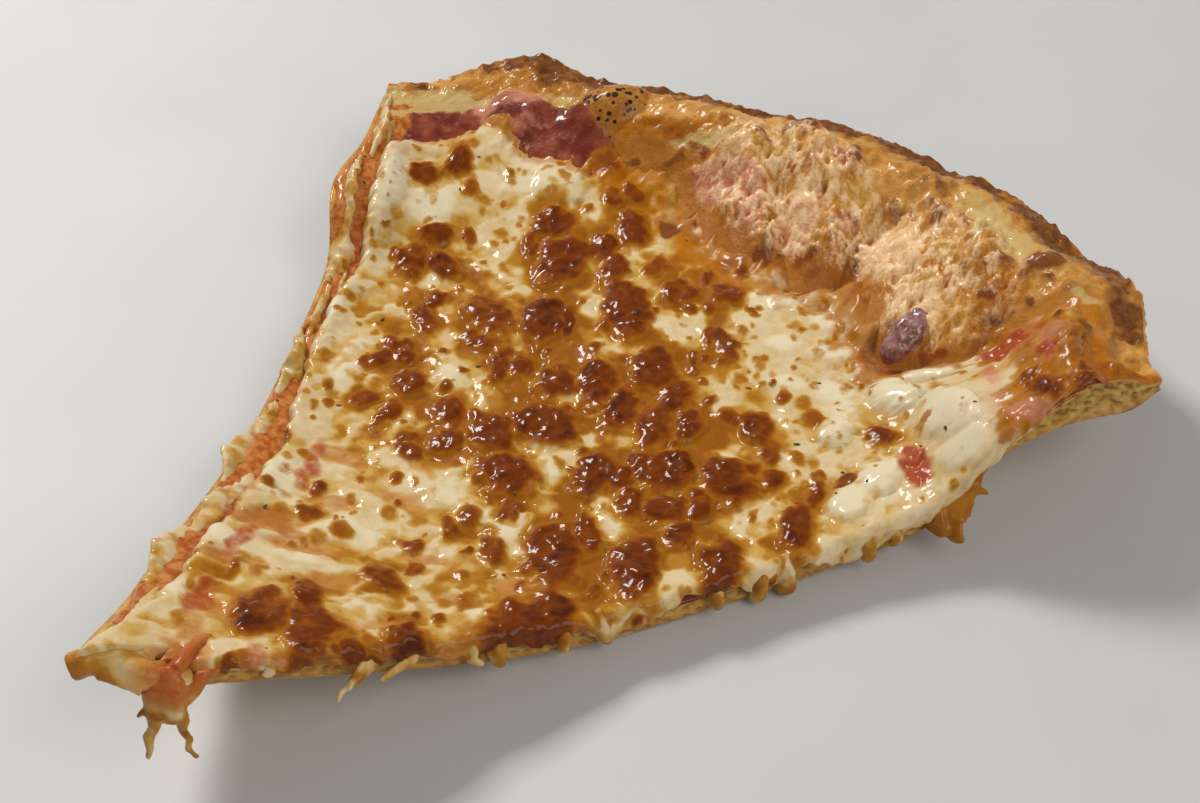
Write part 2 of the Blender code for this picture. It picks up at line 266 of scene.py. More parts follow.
# ------------------------------------------------------------------ browning of the cheese: x, y, half length, half width, turn, depth of colour
BLISTERS = np.array([
    (40.2, 68.1, 14.7, 8.6, 106, 1), (29.1, 88.2, 9.8, 5.9, 129, 0.89), (43.6, 95.2, 8.6, 5.2, 125, 1),
    (57, 104.9, 9.5, 4.3, 123, 0.92), (3.7, 115.4, 8.1, 6.3, 2, 0.98), (-28.8, 159.4, 11.2, 6.3, 119, 0.87),
    (-7.2, 154.4, 10.6, 5.6, 140, 0.95), (43.2, 124.8, 8, 5.5, 137, 0.89), (30.3, 48.2, 10, 4.4, 135, 0.91),
    (33.2, 120, 7.5, 5.3, 109, 0.82), (16.7, 38.9, 7.8, 5.1, 134, 0.8), (10.7, 142.4, 8, 5.4, 128, 0.99),
    (7.6, 36.1, 7.3, 5.5, 127, 0.72), (3.4, 131.4, 7.7, 5.4, 135, 0.83), (-19.1, 141, 8.6, 5, 115, 0.99),
    (61.6, 122.4, 7.7, 3.6, 120, 0.9), (6.6, 99.1, 7.8, 5.8, 176, 0.83), (-3.5, 106.8, 6.8, 4.9, 165, 0.84),
    (21.1, 128.4, 7.2, 4.3, 130, 0.79), (12.7, 128.4, 7.3, 4.2, 119, 1), (-29, 134, 7.6, 5, 165, 0.59),
    (20.4, 111, 6.4, 4.2, 100, 1), (-3.6, 126.8, 7.3, 4.2, 123, 0.79), (19.6, 138.9, 5.7, 4.1, 105, 0.84),
    (38, 111.5, 4.3, 3.9, 171, 1), (30.7, 96.1, 6.5, 2.6, 139, 0.65), (-39.6, 167.4, 5.1, 4.7, 87, 0.87),
    (38.6, 141.4, 5.6, 3.6, 141, 0.78), (-41.2, 189.5, 4, 3.6, 179, 0.65), (-55.5, 137, 5.6, 3.8, 125, 0.63),
    (-23.5, 177.6, 6.8, 3.9, 130, 0.97), (27.1, 133.1, 5.6, 3.2, 123, 0.85),
    (44.6, 107.8, 4.2, 3.3, 114, 0.84), (18.6, 81.5, 4.5, 3.5, 128, 0.54), (42.4, 116.6, 4.7, 3.1, 128, 0.9),
    (8.1, 46, 5.9, 2.6, 136, 0.62), (-16.3, 123.9, 6.4, 2.9, 126, 0.65), (31.4, 108.8, 4.4, 3.4, 145, 0.68),
    (-49.1, 140.1, 5.5, 4.2, 164, 0.78), (-25.5, 168.2, 5.4, 3.7, 126, 0.86), (-0.8, 166.5, 5, 3.9, 72, 0.66),
    (-68.2, 166.9, 5.2, 3.4, 109, 0.87), (-40.7, 124.8, 6.4, 2.9, 154, 0.64), (-9.9, 98.4, 4.5, 3.8, 135, 0.68),
    (60.4, 153.6, 4.1, 3.2, 160, 0.85), (-17.5, 164.7, 5.1, 3.7, 122, 0.7), (-35.6, 113, 4.9, 3.3, 122, 0.63),
    (10.7, 60.8, 4.4, 3.2, 169, 0.66), (-14.3, 105.9, 5, 3.7, 162, 0.64), (7.6, 172.6, 4.8, 4.1, 127, 0.72),
    (21.6, 31.4, 3.3, 2.7, 20, 0.51), (26.6, 117.4, 4.4, 2.5, 144, 0.8), (-28.3, 107.4, 4.5, 3.7, 164, 0.68),
    (58.6, 132.8, 5.5, 2, 121, 0.54), (17.4, 158.7, 6.6, 2.5, 138, 0.64), (-12, 125.8, 4.2, 2.9, 139, 0.72),
    (-26.3, 126.2, 3.8, 2.8, 15, 0.66), (-30.5, 186.2, 4.2, 2.5, 165, 0.55), (48.9, 131.5, 3.5, 2.3, 145, 0.65),
    (62.2, 138.7, 3.3, 2.5, 92, 0.57), (-71, 157.5, 3.8, 2.9, 104, 0.71), (28.2, 41.7, 3.6, 2.2, 128, 0.69),
    (-56.5, 145.8, 5, 2.8, 85, 0.61), (7.1, 72, 3.2, 2.5, 65, 0.49), (-24.2, 97, 4.5, 2, 100, 0.59),
    (45.1, 136.5, 3.7, 2.4, 112, 0.35), (-38.8, 107.3, 4.1, 2.8, 78, 0.55), (-12.7, 91.1, 3.5, 2.9, 167, 0.53),
    (-42.3, 130.6, 3.8, 2.9, 125, 0.71), (26.4, 112.5, 3, 2.4, 127, 1), (8.2, 81.3, 3.7, 1.9, 164, 0.71),
    (6.6, 187.9, 3.7, 1.7, 155, 0.49), (-15.7, 94.8, 3, 2.4, 53, 0.57), (13.2, 158.1, 4.8, 1.8, 119, 0.6),
    (13.4, 92.9, 4.3, 1.7, 104, 0.46), (0.4, 174.8, 5.1, 1.7, 117, 0.58), (-13.1, 142.3, 4.6, 1.7, 124, 0.77),
    (24.4, 40.5, 3.6, 2.1, 127, 0.7), (-11.2, 170.4, 4.8, 1.9, 95, 0.44), (-38.2, 158.6, 4.3, 1.8, 130, 0.5),
    (-31.8, 98, 3.2, 2, 81, 0.52), (14.7, 22.1, 2.5, 1.4, 118, 0.52), (-6.8, 41.6, 3.7, 1.3, 111, 0.36),
    (40.5, 85.5, 2.5, 1.6, 102, 0.58), (12.2, 66.8, 2.9, 1.8, 101, 0.39), (15.5, 149.6, 4.1, 1.4, 131, 0.58),
    (-17.9, 70.6, 2.9, 1.8, 115, 0.56), (-12, 63.5, 2.7, 2.2, 29, 0.35),
    (-33.7, 182.2, 2.7, 1.9, 143, 0.52), (54.5, 180.0, 4.6, 3.6, 120, 0.9),
    (87.4, 165.8, 4.6, 3.2, 128, 0.75), (96.2, 167.0, 4.2, 2.8, 135, 0.8), (93.2, 173.0, 3.2, 2.3, 120, 0.7), (82.8, 170.4, 2.9, 2.0, 130, 0.6),
    (91.4, 180.2, 3.2, 2.2, 110, 0.6), (99.6, 174.0, 3.0, 2.0, 110, 0.7), (79.0, 187.0, 2.6, 1.8, 140, 0.6), (85.6, 186.0, 2.4, 1.6, 120, 0.5),
])
# sauce showing through: x, y, half length, half width, turn, strength
RED_SPOTS = np.array([
    (71.6, 148.2, 5.8, 3.1, 128, 1.0), (70.2, 182.6, 5.6, 4.2, 100, 1.0), (82.4, 176.4, 3.4, 2.2, 120, 0.8), (76.0, 186.5, 3.0, 1.8, 150, 0.7), (-2, 30, 6, 2.2, 120, 0.7),
    (-24, 75, 9, 2.0, 118, 0.7), (-50, 130, 3, 1.4, 118, 0.4), (-80, 168, 5, 2, 75, 0.5), (16, 26, 5, 2.2, 128, 0.6),
    (-12, 48, 8, 2.0, 112, 0.7), (24, 52, 4, 1.8, 140, 0.5), (76, 158, 2.6, 1.4, 120, 0.4), (68, 156, 2.0, 1.1, 120, 0.4),
])

# other fields of colour, seen on the crust and at the right-hand corner
DARKS = np.array([
    (-15.8, 190.5, 3.4, 1.4, 136, 0.75), (-17.3, 182.8, 2.7, 2.1, 132, 0.9), (6.8, 187.7, 2.8, 2, 143, 0.9), (16.7, 192, 1.8, 1.2, 31, 0.6),
    (-36.9, 194, 2.9, 0.9, 35, 0.7), (-27.9, 198.3, 2.4, 1.8, 52, 0.55), (13.5, 214.8, 5.8, 2.1, 126, 0.8), (-0.7, 216.8, 4.9, 1.8, 109, 0.8),
    (-9.5, 208.5, 2.3, 0.8, 13, 0.8), (-5, 213.7, 4.1, 1.6, 121, 0.7), (39.1, 208.5, 3.2, 1.4, 140, 0.8), (44.4, 208.8, 3.9, 1.2, 123, 0.9),
    (27.6, 208.3, 2.3, 1.3, 178, 0.75), (35.8, 211.2, 1.5, 1.1, 7, 0.6), (30.2, 215.4, 3.8, 1.8, 52, 0.5), (35.4, 217.9, 3.6, 3, 135, 0.5),
    (59.2, 200.3, 2.8, 1.3, 7, 0.85), (68, 202.6, 4.7, 1.8, 8, 0.85), (51.7, 196.5, 1.7, 1, 152, 0.6), (55.8, 197.1, 1.7, 0.9, 140, 0.6),
    (60.4, 193.7, 2.4, 1.5, 166, 0.8), (69.5, 194.8, 1.5, 0.7, 165, 0.75), (65.8, 191.9, 4, 0.7, 26, 0.6), (66.6, 199.7, 1.5, 0.6, 9, 0.6),
    (69.7, 200.1, 1.5, 0.6, 4, 0.6), (74.8, 197.8, 3.2, 1.7, 151, 0.45), (27.1, 194.5, 2.5, 2.1, 98, 0.75), (87.6, 165.8, 4.2, 1.8, 130, 0.7),
    (96.6, 166.5, 2.6, 1.8, 141, 0.9), (90.3, 168, 3.7, 0.9, 132, 0.65), (101.3, 171.5, 6.1, 1.9, 80, 0.6), (86.5, 183.3, 2.7, 1, 117, 0.35),
    (94.7, 188, 2.5, 1.3, 91, 0.45), (18.7, 189.3, 3.1, 0.5, 42, 0.5),
])
RUST = np.array([
    (4.1, 204.9, 5.5, 2, 7, 0.6), (1.8, 195.6, 3.3, 2.5, 161, 0.55), (16.3, 190.4, 4.5, 1.4, 40, 0.7), (-22.2, 202.3, 5, 0.9, 14, 0.8),
    (-20, 197.3, 3.8, 2.1, 0, 0.5), (-13.1, 199.5, 3.3, 1.1, 5, 0.5), (19.9, 201.2, 3.4, 1.9, 50, 0.6), (70.3, 182.9, 6.4, 4.6, 100, 0.5),
    (90.9, 194.1, 4, 1.2, 74, 0.9), (81.8, 176.6, 8.5, 1.6, 139, 0.5), (56.4, 180.3, 3.4, 0.9, 22, 0.8), (12.9, 211.3, 3.8, 2.8, 137, 0.8),
    (0.4, 215.7, 5, 2.8, 100, 0.9), (-8.5, 208.2, 3.6, 1.3, 9, 0.8), (93.9, 159, 4.4, 1.2, 24, 0.6), (24.5, 197.6, 2.8, 2.4, 50, 0.5),
    (61.1, 190.3, 2.6, 1, 12, 0.5), (30.1, 208.4, 6.6, 1.2, 20, 0.5), (43.1, 203.9, 3.1, 1.5, 152, 0.5), (-72.1, 188.4, 4, 3.4, 34, 0.6),
    (-40.1, 190.3, 3.7, 3.3, 166, 0.55),
])
PINK = np.array([
    (-14.8, 197.5, 7.9, 4.1, 170, 0.85), (-2.4, 192.6, 6.2, 3.4, 126, 0.7), (-12.4, 188.8, 5.8, 3.3, 149, 0.4), (20.3, 199.6, 3.2, 2.2, 30, 0.6),
    (2.6, 199.1, 3.7, 2.8, 168, 0.4), (-75.9, 184.6, 4.3, 4, 12, 0.8), (-63.3, 185.4, 6, 2.5, 34, 0.5), (-78.1, 157.1, 4.5, 3.1, 95, 0.3),
    (89.7, 161.2, 5, 3.4, 16, 0.5), (79.2, 162.2, 7.1, 2.5, 124, 0.4), (29.6, 197.9, 6.2, 3.4, 135, 0.3), (-7.0, 197.0, 8.0, 4.6, 150, 0.75), (10.0, 195.0, 6.0, 4.6, 140, 0.55), (-70.0, 190.0, 7.0, 4.0, 30, 0.85), (74.0, 172.5, 6.0, 2.6, 130, 0.6), (80.0, 182.0, 4.0, 2.4, 130, 0.5),
])
GOLD = np.array([
    (-9, 204.7, 6.6, 3.7, 13, 0.9), (17.2, 204.9, 6, 4, 13, 1), (43.7, 200.8, 8.2, 3.2, 161, 0.6), (57.3, 188.3, 4.8, 3.5, 163, 0.9),
    (34.5, 210.7, 10.4, 3.3, 4, 0.5), (-37.4, 198.3, 9.6, 2, 26, 0.5), (95.8, 185.7, 12.9, 4.2, 100, 0.5),
])
LIGHT = np.array([
    (9.5, 200.3, 5.3, 3.9, 144, 0.8), (-13.1, 204.1, 4.3, 2.8, 174, 0.6), (33.8, 198.2, 10.6, 5.9, 142, 0.85), (27.1, 203.5, 4.1, 2.1, 26, 0.6),
    (46.1, 185.7, 7.4, 5.5, 150, 0.85), (13.2, 209.2, 2.8, 2.2, 18, 0.6), (-7.6, 182.4, 4.8, 3.1, 20, 0.3),
])
AMBER = np.array([
    (89, 161.5, 8, 4.5, 60, 0.85), (95, 170.5, 9, 6, 60, 0.95), (85, 169, 8, 5, 60, 0.85), (89, 178, 10, 7, 40, 0.9), (101, 180, 8, 5, 60, 0.85),
    (83.6, 180, 12.6, 3.6, 137, 0.9), (95.4, 175.4, 5.5, 4.7, 121, 0.95), (95.1, 167.9, 5.7, 3.5, 13, 0.8), (61.1, 196.7, 9.4, 4, 176, 0.6),
    (-32, 202.5, 13.2, 2.6, 26, 0.9), (-41, 189.5, 5, 3.9, 22, 0.95), (-31.7, 193.9, 8.1, 2.6, 26, 0.7), (51.4, 195.1, 7.8, 3.5, 159, 0.5),
    (19.7, 196.9, 4.3, 2, 102, 0.8), (-3.4, 201.4, 5.4, 2.8, 133, 0.5), (-4.3, 193.2, 6, 1.6, 129, 0.5), (67.1, 189.6, 7.5, 2.1, 15, 0.5),
    (102.6, 180.3, 6.8, 1.8, 98, 0.6), (74.5, 185.0, 7.0, 3.2, 135, 0.85), (77.5, 177.5, 6.0, 3.2, 130, 0.85), (66.5, 188.0, 6.0, 2.6, 150, 0.75), (73.0, 174.0, 4.0, 2.0, 130, 0.6), (86.9, 162.6, 4.7, 3.7, 171, 0.7), (83, 191.2, 6.3, 3.3, 166, 0.5), (-68.7, 182.3, 5.8, 1.8, 19, 0.7),
    (48.4, 172, 3.4, 1.6, 41, 0.6), (39.3, 177.9, 5, 1.6, 179, 0.4),
])
PALE = np.array([
    (53.6, 209.2, 13.2, 4.4, 145, 1), (42.2, 212.4, 5.3, 2.4, 149, 0.5), (-23.5, 203, 11.4, 1.8, 23, 0.8), (81.3, 195.2, 4.7, 1.8, 164, 0.7),
    (67.3, 196.8, 4.2, 1.3, 5, 0.35), (-87.6, 171, 6.9, 1.5, 58, 0.9), (-61.9, 196.6, 8.1, 3.5, 39, 0.6), (-85.5, 179.5, 13.0, 4.2, 40, 0.95), (-96, 171, 7.0, 4.0, 50, 0.95), (24.8, 213.8, 4.5, 1.2, 19, 0.4),
    (68, 189.4, 3.4, 1.7, 18, 0.35),
])
WHITE = np.array([
    (56.4, 164.4, 6.8, 4.3, 136, 1), (71.2, 160.1, 10.3, 4.8, 143, 1), (59.2, 173.9, 6.1, 4.4, 24, 0.9), (44.9, 171.2, 5.7, 3.8, 130, 0.9),
    (51.4, 149.7, 4.9, 4.1, 122, 0.8), (23.3, 184.5, 5.1, 4.9, 153, 0.7), (19.7, 179, 4.5, 4.1, 35, 0.6), (67.6, 142.6, 6.2, 5, 78, 0.8),
    (79.5, 151.3, 5.3, 3.6, 176, 0.7), (65.7, 134.9, 7.1, 4.9, 95, 0.7), (-12.7, 188.8, 7.2, 4.1, 175, 0.5), (11.4, 183.8, 5.8, 2.3, 23, 0.5),
    (-0.8, 185.5, 7.1, 2, 11, 0.4), (-45.8, 177.4, 7.3, 5.8, 38, 0.5), (-64.1, 151.9, 9.1, 6, 121, 0.7), (-81.1, 160.3, 6.3, 2.5, 74, 1),
    (-55.9, 178.3, 5.9, 3.8, 35, 0.6), (-42.6, 103.7, 8.1, 3.9, 112, 0.8), (-58.2, 114.7, 9.7, 1.8, 125, 0.8), (-8.8, 65.8, 12.1, 5, 17, 0.6),
    (2.8, 41.4, 7.1, 3.8, 25, 0.8), (16, 87.1, 6.1, 3.4, 172, 0.6), (32.8, 103.7, 4, 3.3, 35, 0.5), (-71.9, 148.7, 8.9, 2.7, 124, 1),
    (4.1, 88.3, 6.7, 3.1, 8, 0.5), (14, 47.1, 8.5, 3.4, 58, 0.6), (32, 69.8, 7.8, 3.6, 66, 0.6), (18.2, 77.6, 6, 2.9, 25, 0.5),
    (-2.1, 52.3, 4.7, 2.7, 39, 0.7), (-13.2, 45.7, 5.5, 2.2, 3, 0.8), (-5.6, 28.7, 3.4, 2.1, 9, 0.7), (-23.9, 66.7, 7.8, 3.3, 125, 0.8),
    (-8, 89.5, 4.3, 2.8, 17, 0.4), (49.5, 89.2, 3.9, 3.3, 72, 0.5), (60.2, 93.6, 2.9, 1.9, 129, 0.5), (68.4, 102.7, 2.4, 1.5, 127, 0.4),
    (31, 178.5, 4.6, 3.0, 30, 0.8), (36.5, 171, 5.2, 3.2, 25, 0.85), (27.5, 166.5, 5.4, 2.8, 35, 0.75), (44, 160.5, 5.0, 3.6, 40, 0.8), (36, 156, 4.6, 2.8, 30, 0.7),
    (50.5, 156.5, 4.4, 3.0, 130, 0.7), (14.5, 175.5, 4.6, 2.8, 20, 0.7), (6.5, 181, 5.0, 2.6, 15, 0.6), (-52, 172, 8.0, 3.0, 40, 0.6), (-34, 172, 6.5, 3.0, 60, 0.6),
    (-12.0, 114.5, 6.0, 2.2, 150, 0.7), (12, 106, 5.0, 2.0, 160, 0.6), (-2, 140, 5.4, 2.2, 140, 0.6), (28, 82, 5.0, 2.6, 150, 0.6), (-22, 113, 6.0, 2.4, 140, 0.6),
])
STREAKS = np.array([
    (9, 15.5, 7.5, 4.6, 125, 1.0), (4, 24, 6, 3, 120, 0.7),
    (-15, 56.2, 7.7, 3.5, 47, 0.9), (-8.2, 41.6, 5.2, 2.6, 36, 0.8), (-13.6, 70.2, 7.1, 2.4, 43, 0.6), (-6, 55.5, 7, 2.8, 40, 0.7),
    (-0.9, 30.3, 4.7, 2.4, 176, 0.7), (9, 34, 5.7, 2.1, 45, 0.6), (5.8, 52.5, 7.3, 2.5, 42, 0.6), (11, 70.1, 6.4, 2, 34, 0.6),
    (21.6, 49.5, 6.8, 2, 56, 0.5), (23.5, 65.4, 4.9, 2.2, 29, 0.6), (-24.6, 58.8, 6.3, 2, 121, 0.7), (-22.1, 82.3, 7.1, 2.5, 28, 0.6),
    (-4.7, 80.4, 6.2, 2.4, 25, 0.6), (29.4, 78, 5, 2.4, 43, 0.6), (36.1, 60.2, 7.6, 1.9, 64, 0.7), (19.6, 33.3, 6.5, 2.1, 60, 0.7),
    (28.8, 42.9, 6.8, 1.9, 62, 0.7), (37.9, 79.7, 4.2, 2.2, 78, 0.7), (51.3, 75.4, 4.8, 1.8, 68, 0.7), (53.1, 84.7, 4.9, 1.4, 70, 0.5),
])


def turned(x, y, cx, cy, a, b, turn, reach):
    near = np.hypot(x - cx, y - cy) < a * reach + 2
    if not near.any():
        return None, None
    c, s = np.cos(radians(turn)), np.sin(radians(turn))
    dx, dy = x[near] - cx, y[near] - cy
    return near, np.hypot((dx * c + dy * s) / a, (-dx * s + dy * c) / b)


def paint(x, y, table, warp, least=1.1):
    total = np.zeros_like(x)
    for cx, cy, a, b, turn, strength in table:
        near, q = turned(x, y, cx, cy, max(a, least), max(b, least), turn, 1.9)
        if near is not None:
            total[near] = np.maximum(total[near], strength * (1 - smooth(0.45, 1.45, q + warp[near])))
    return total


def blisters(x, y, warp):
    """How dark, how raised and how haloed by gold the cheese is at each point."""
    bake = np.zeros_like(x)
    dome = np.zeros_like(x)
    clear = np.ones_like(x)
    for cx, cy, a, b, turn, depth in BLISTERS:
        near, q = turned(x, y, cx, cy, a, b, turn, 3.2)
        if near is None:
            continue
        q = q * 0.94 + warp[near] * (0.8 + 1.1 / b)
        core = (0.46 + 0.54 * depth) * (1 - smooth(0.52, 1.20, q))
        bake[near] = np.maximum(bake[near], core)
        dome[near] = np.maximum(dome[near], (0.36 + 0.17 * min(b, 6)) * (0.6 + 0.4 * depth) * np.clip(1 - (q * 0.93) ** 2, 0, 1) ** 0.62)
        clear[near] *= 1 - (0.30 + 0.42 * depth) * np.exp(-((np.clip(q - 0.80, 0, 9) / (0.42 + 0.9 / b)) ** 2))
    return bake, dome, 1 - clear


def palette(x, y):
    """Fields of colour that cheese and dough share."""
    wx = x + 1.3 * noise(x / 5.0, y / 5.0, 3.1, 11) + 0.5 * noise(x / 1.9, y / 1.9, 4.1, 13)
    wy = y + 1.3 * noise(x / 5.0, y / 5.0, 7.7, 12) + 0.5 * noise(x / 1.9, y / 1.9, 8.7, 14)
    warp = 0.22 * noise(x / 3.2, y / 3.2, 1.0, 31) + 0.14 * noise(x / 1.5, y / 1.5, 2.0, 32)
    tables = dict(dark=DARKS, rust=RUST, pink=PINK, gold=GOLD, light=LIGHT, tan=AMBER, pale=PALE)
    return {name: paint(wx, wy, table, warp) for name, table in tables.items()}


def cheese_fields(x, y):
    """Relief and colour fields of the cheese's upper face."""
    wx = x + 0.9 * noise(x / 5.0, y / 5.0, 3.1, 11) + 0.35 * noise(x / 1.7, y / 1.7, 4.1, 13)
    wy = y + 0.9 * noise(x / 5.0, y / 5.0, 7.7, 12) + 0.35 * noise(x / 1.7, y / 1.7, 8.7, 14)
    f1, _ = cells(wx / 2.5, wy / 2.5, 21)
    m1, _ = cells(wx / 1.25, wy / 1.25, 61)
    warp = 0.15 * noise(x / 3.4, y / 3.4, 1.0, 31) + 0.09 * noise(x / 1.5, y / 1.5, 2.0, 32)
    bake, dome, halo = blisters(wx, wy, warp)
    red = paint(wx, wy, RED_SPOTS, warp * 1.5)
    white = paint(wx, wy, WHITE, warp * 1.2, 1.5)
    marks = palette(x, y)
    marks["dark"] = marks["dark"] * 0.9
    away0, across0 = -0.30 * x + 0.95 * y, 0.95 * x + 0.30 * y
    # streaks where the cheese was pulled towards the point
    pulled = paint(wx, wy, STREAKS, warp * 1.6 + 0.35 * noise(away0 / 1.6, across0 / 9.0, 0.5, 45))
    pull = smooth(112, 62, y) * smooth(62, 0, x + (70 - y) * 0.30)
    away, across = -0.30 * x + 0.95 * y, 0.95 * x + 0.30 * y
    away, across = away + 2.5 * noise(x / 14, y / 14, 0, 43), across + 2.5 * noise(x / 14, y / 14, 5, 44)
    streak = fbm(away / 4.6, across / 17.0, 0.3, 3, 41)
    lumps = fbm(x / 12.0, y / 12.0, 0.2, 3, 51)
    fine = fbm(x / 3.8, y / 3.8, 0.6, 3, 52)
    ropes = np.clip(1 - np.abs(fbm(wx / 7.5, wy / 7.5, 4.0, 3, 53)) * 3.0, 0, 1)
    caps = np.sqrt(np.clip(1 - (f1 / 0.56) ** 2, 0, 1))
    tiny = np.sqrt(np.clip(1 - (m1 / 0.55) ** 2, 0, 1))
    body = np.clip(bake * 1.25, 0, 1)
    # small golden spots between the blisters
    dense = 0.20 + 0.60 * bump(x, 34, 24) * bump(y, 160, 26) + 0.35 * bump(x, -48, 24) * bump(y, 165, 26) + 0.22 * bump(x, -30, 30) * bump(y, 125, 30)
    dense = np.clip(dense - 0.06 * smooth(62, 76, x), 0, 0.85)
    cooked = np.exp(-(((x - 8) / 46) ** 2 + ((y - 124) / 48) ** 2)) + 0.5 * np.exp(-(((x - 24) / 26) ** 2 + ((y - 52) / 34) ** 2))
    speck, spot = np.zeros_like(x), np.zeros_like(x)
    for scale, seed, least, most in ((4.4, 301, 0.6, 0.26), (2.8, 331, 0.45, 0.26), (6.2, 361, 0.7, 0.22)):
        gx, gy = np.floor(wx / scale), np.floor(wy / scale)
        zero = np.zeros_like(gx)
        for dx in (-1, 0, 1):
            for dy in (-1, 0, 1):
                cx, cy = gx + dx, gy + dy
                px = (cx + 0.15 + 0.7 * _lattice(cx, cy, zero, seed)) * scale
                py = (cy + 0.15 + 0.7 * _lattice(cx, cy, zero, seed + 1)) * scale
                chance = 0.03 + 0.50 * cooked if scale > 5 else dense * (0.85 if scale > 3 else 0.45)
                keep = _lattice(cx, cy, zero, seed + 2) < chance
                size = least + (most * scale) * _lattice(cx, cy, zero, seed + 3) ** 1.6
                u, v = (px - wx) * 0.75 + (py - wy) * 0.66, ((py - wy) * 0.75 - (px - wx) * 0.66) / 1.35
                near = np.hypot(u, v)
                mark = keep * (1 - smooth(size * 0.35, size * 1.6 + 0.15, near)) * (0.55 + 0.45 * _lattice(cx, cy, zero, seed + 4))
                if scale > 5:
                    spot = np.maximum(spot, mark)
                else:
                    speck = np.maximum(speck, mark)
    mound = np.zeros_like(x)
    for cx, cy, a, b, turn, strength in WHITE[:14]:
        near, q = turned(wx, wy, cx, cy, a * 0.95, b * 1.02, turn, 2.0)
        if near is not None:
            mound[near] = np.maximum(mound[near], 0.44 * b * strength * np.sqrt(np.clip(1 - (q + 0.7 * warp[near]) ** 2, 0, 1)))
    z = 0.70 * lumps + (0.32 * fine + 0.36 * ropes * (1 - body)) * (1 - 0.7 * white)
    z = z + pull * 0.95 * streak
    z = z + dome * (0.9 + 0.30 * fine) + body * (0.30 * caps + 0.09 * tiny)
    z = z - 0.45 * halo * (1 - np.clip(dome * 1.5, 0, 1)) + 0.16 * speck * (1 - body) + 0.75 * spot
    z = z + (0.7 * white + mound) * (1 - 0.8 * body) + red * (0.6 * caps + 0.5 * fine - 0.1) - 0.7 * pulled * (1 - body)
    z = z + marks["tan"] * (0.55 * caps + 0.45 * ropes + 0.5 * fine)
    baked = 0.86 * np.exp(-(((x - 8) / 44) ** 2 + ((y - 124) / 46) ** 2)) + 0.24 * np.exp(-(((x - 26) / 30) ** 2 + ((y - 58) / 34) ** 2))
    baked = baked + 0.34 * np.exp(-(((x + 35) / 30) ** 2 + ((y - 130) / 32) ** 2)) + 0.34 * np.exp(-(((x + 15) / 34) ** 2 + ((y - 182) / 14) ** 2))
    tone = fbm(x / 6.5, y / 6.5, 0.9, 3, 71)
    wash = 0.26 * smooth(-0.15, 0.45, fbm(x / 9, y / 9, 6.6, 3, 78)) * (1 - 0.6 * smooth(50, 62, x)) + 0.10 - 0.22 * bump(x, 34, 24) * bump(y, 168, 18)
    amber = np.clip(0.95 * halo + baked * (0.44 + 1.9 * tone) + 0.45 * pull * np.clip(-streak * 1.6, 0, 1) + 0.10 * tone + wash - 0.78 * ropes**1.3 * (1 - 0.70 * halo), 0, 1)
    amber = np.maximum(amber, 0.9 * smooth(0.05, 0.5, spot))
    amber = np.maximum(amber, 0.54 * smooth(0.0, 0.8, speck)) * (1 - 0.75 * white * (1 - 0.5 * halo))
    mottle = 1 + 0.30 * fbm(x / 3.0, y / 3.0, 5.5, 2, 73)
    marks.update(bake=np.maximum(np.maximum(bake * mottle * (0.84 + 0.26 * caps), 0.38 * speck), 0.80 * spot), amber=amber, red=red, white=white, bubbly=body, pulled=pulled)
    return z, marks


# ------------------------------------------------------------------ cheese
STEP = 0.52
CHEESE_T, SAUCE_T = 2.3, 1.0


def cheese_reach(s):
    """How far out the melted cheese goes: past the sauce, save at the left where a band of sauce is bare."""
    known = [0, 0.04, 0.085, 0.128, 0.2, 0.275, 0.30, 0.34, 0.38, 0.405, 0.465, 0.52, 0.56, 0.60, 0.66, 0.70, 0.77, 0.80, 0.83, 0.90, 1]
    past = [0, 0.003, 0.015, 0.026, 0.030, 0.032, 0.045, 0.053, 0.054, 0.040, 0.022, 0.024, 0.034, 0.038, 0.022, 0.016, 0.014, 0.026, 0.034, 0.014, 0.010]
    return cheese_edge(s) + np.interp(s, known, past)


def sauce_reach(s):
    open_band = 1 - smooth(0.27, 0.38, s)
    uneven = 0.006 * noise(s * 40, 0.2, 0, 161) + 0.003 * noise(s * 110, 1.2, 0, 162)
    return sauce_edge(s) + 0.012 * open_band - 0.012 * (1 - open_band) + open_band * uneven


def sauce_depth(x, y, rest):
    """rest is how far the sauce goes on beyond this point, in mm."""
    return 0.25 + 0.75 * smooth(-1.0, 9.0, rest)


def sauce_top(x, y, rest):
    lumpy = 0.45 * fbm(x / 5.0, y / 5.0, 2.2, 3, 81) + 0.20 * fbm(x / 1.6, y / 1.6, 2.9, 2, 82)
    return dough_top(x, y) + 0.3 + sauce_depth(x, y, rest) * (1 + lumpy)


def cheese_base(x, y):
    return dough_top(x, y) + 1.55


def drip_length(r):
    slow = 0.5 + 0.5 * noise(r / 9.0, 0.5, 0.0, 91)
    quick = 0.5 + 0.5 * noise(r / 3.4, 7.5, 0.0, 92)
    rag = 0.5 + 0.5 * noise(r / 1.5, 3.5, 0.0, 90)
    long = 1.6 + 3.2 * slow + 2.8 * quick**1.5 * slow + 1.7 * rag**2
    long = long + 1.6 * bump(r, 66, 9) + 2.2 * bump(r, 128, 7) + 1.9 * bump(r, 146, 6) - 1.8 * bump(r, 137, 3.5) - 1.8 * bump(r, 110, 3) - 1.4 * bump(r, 88, 2.5)
    return np.clip(long * (0.55 + 0.45 * smooth(15, 50, r)) * (1 - 0.35 * smooth(176, 200, r)), 1.0, 9.0)


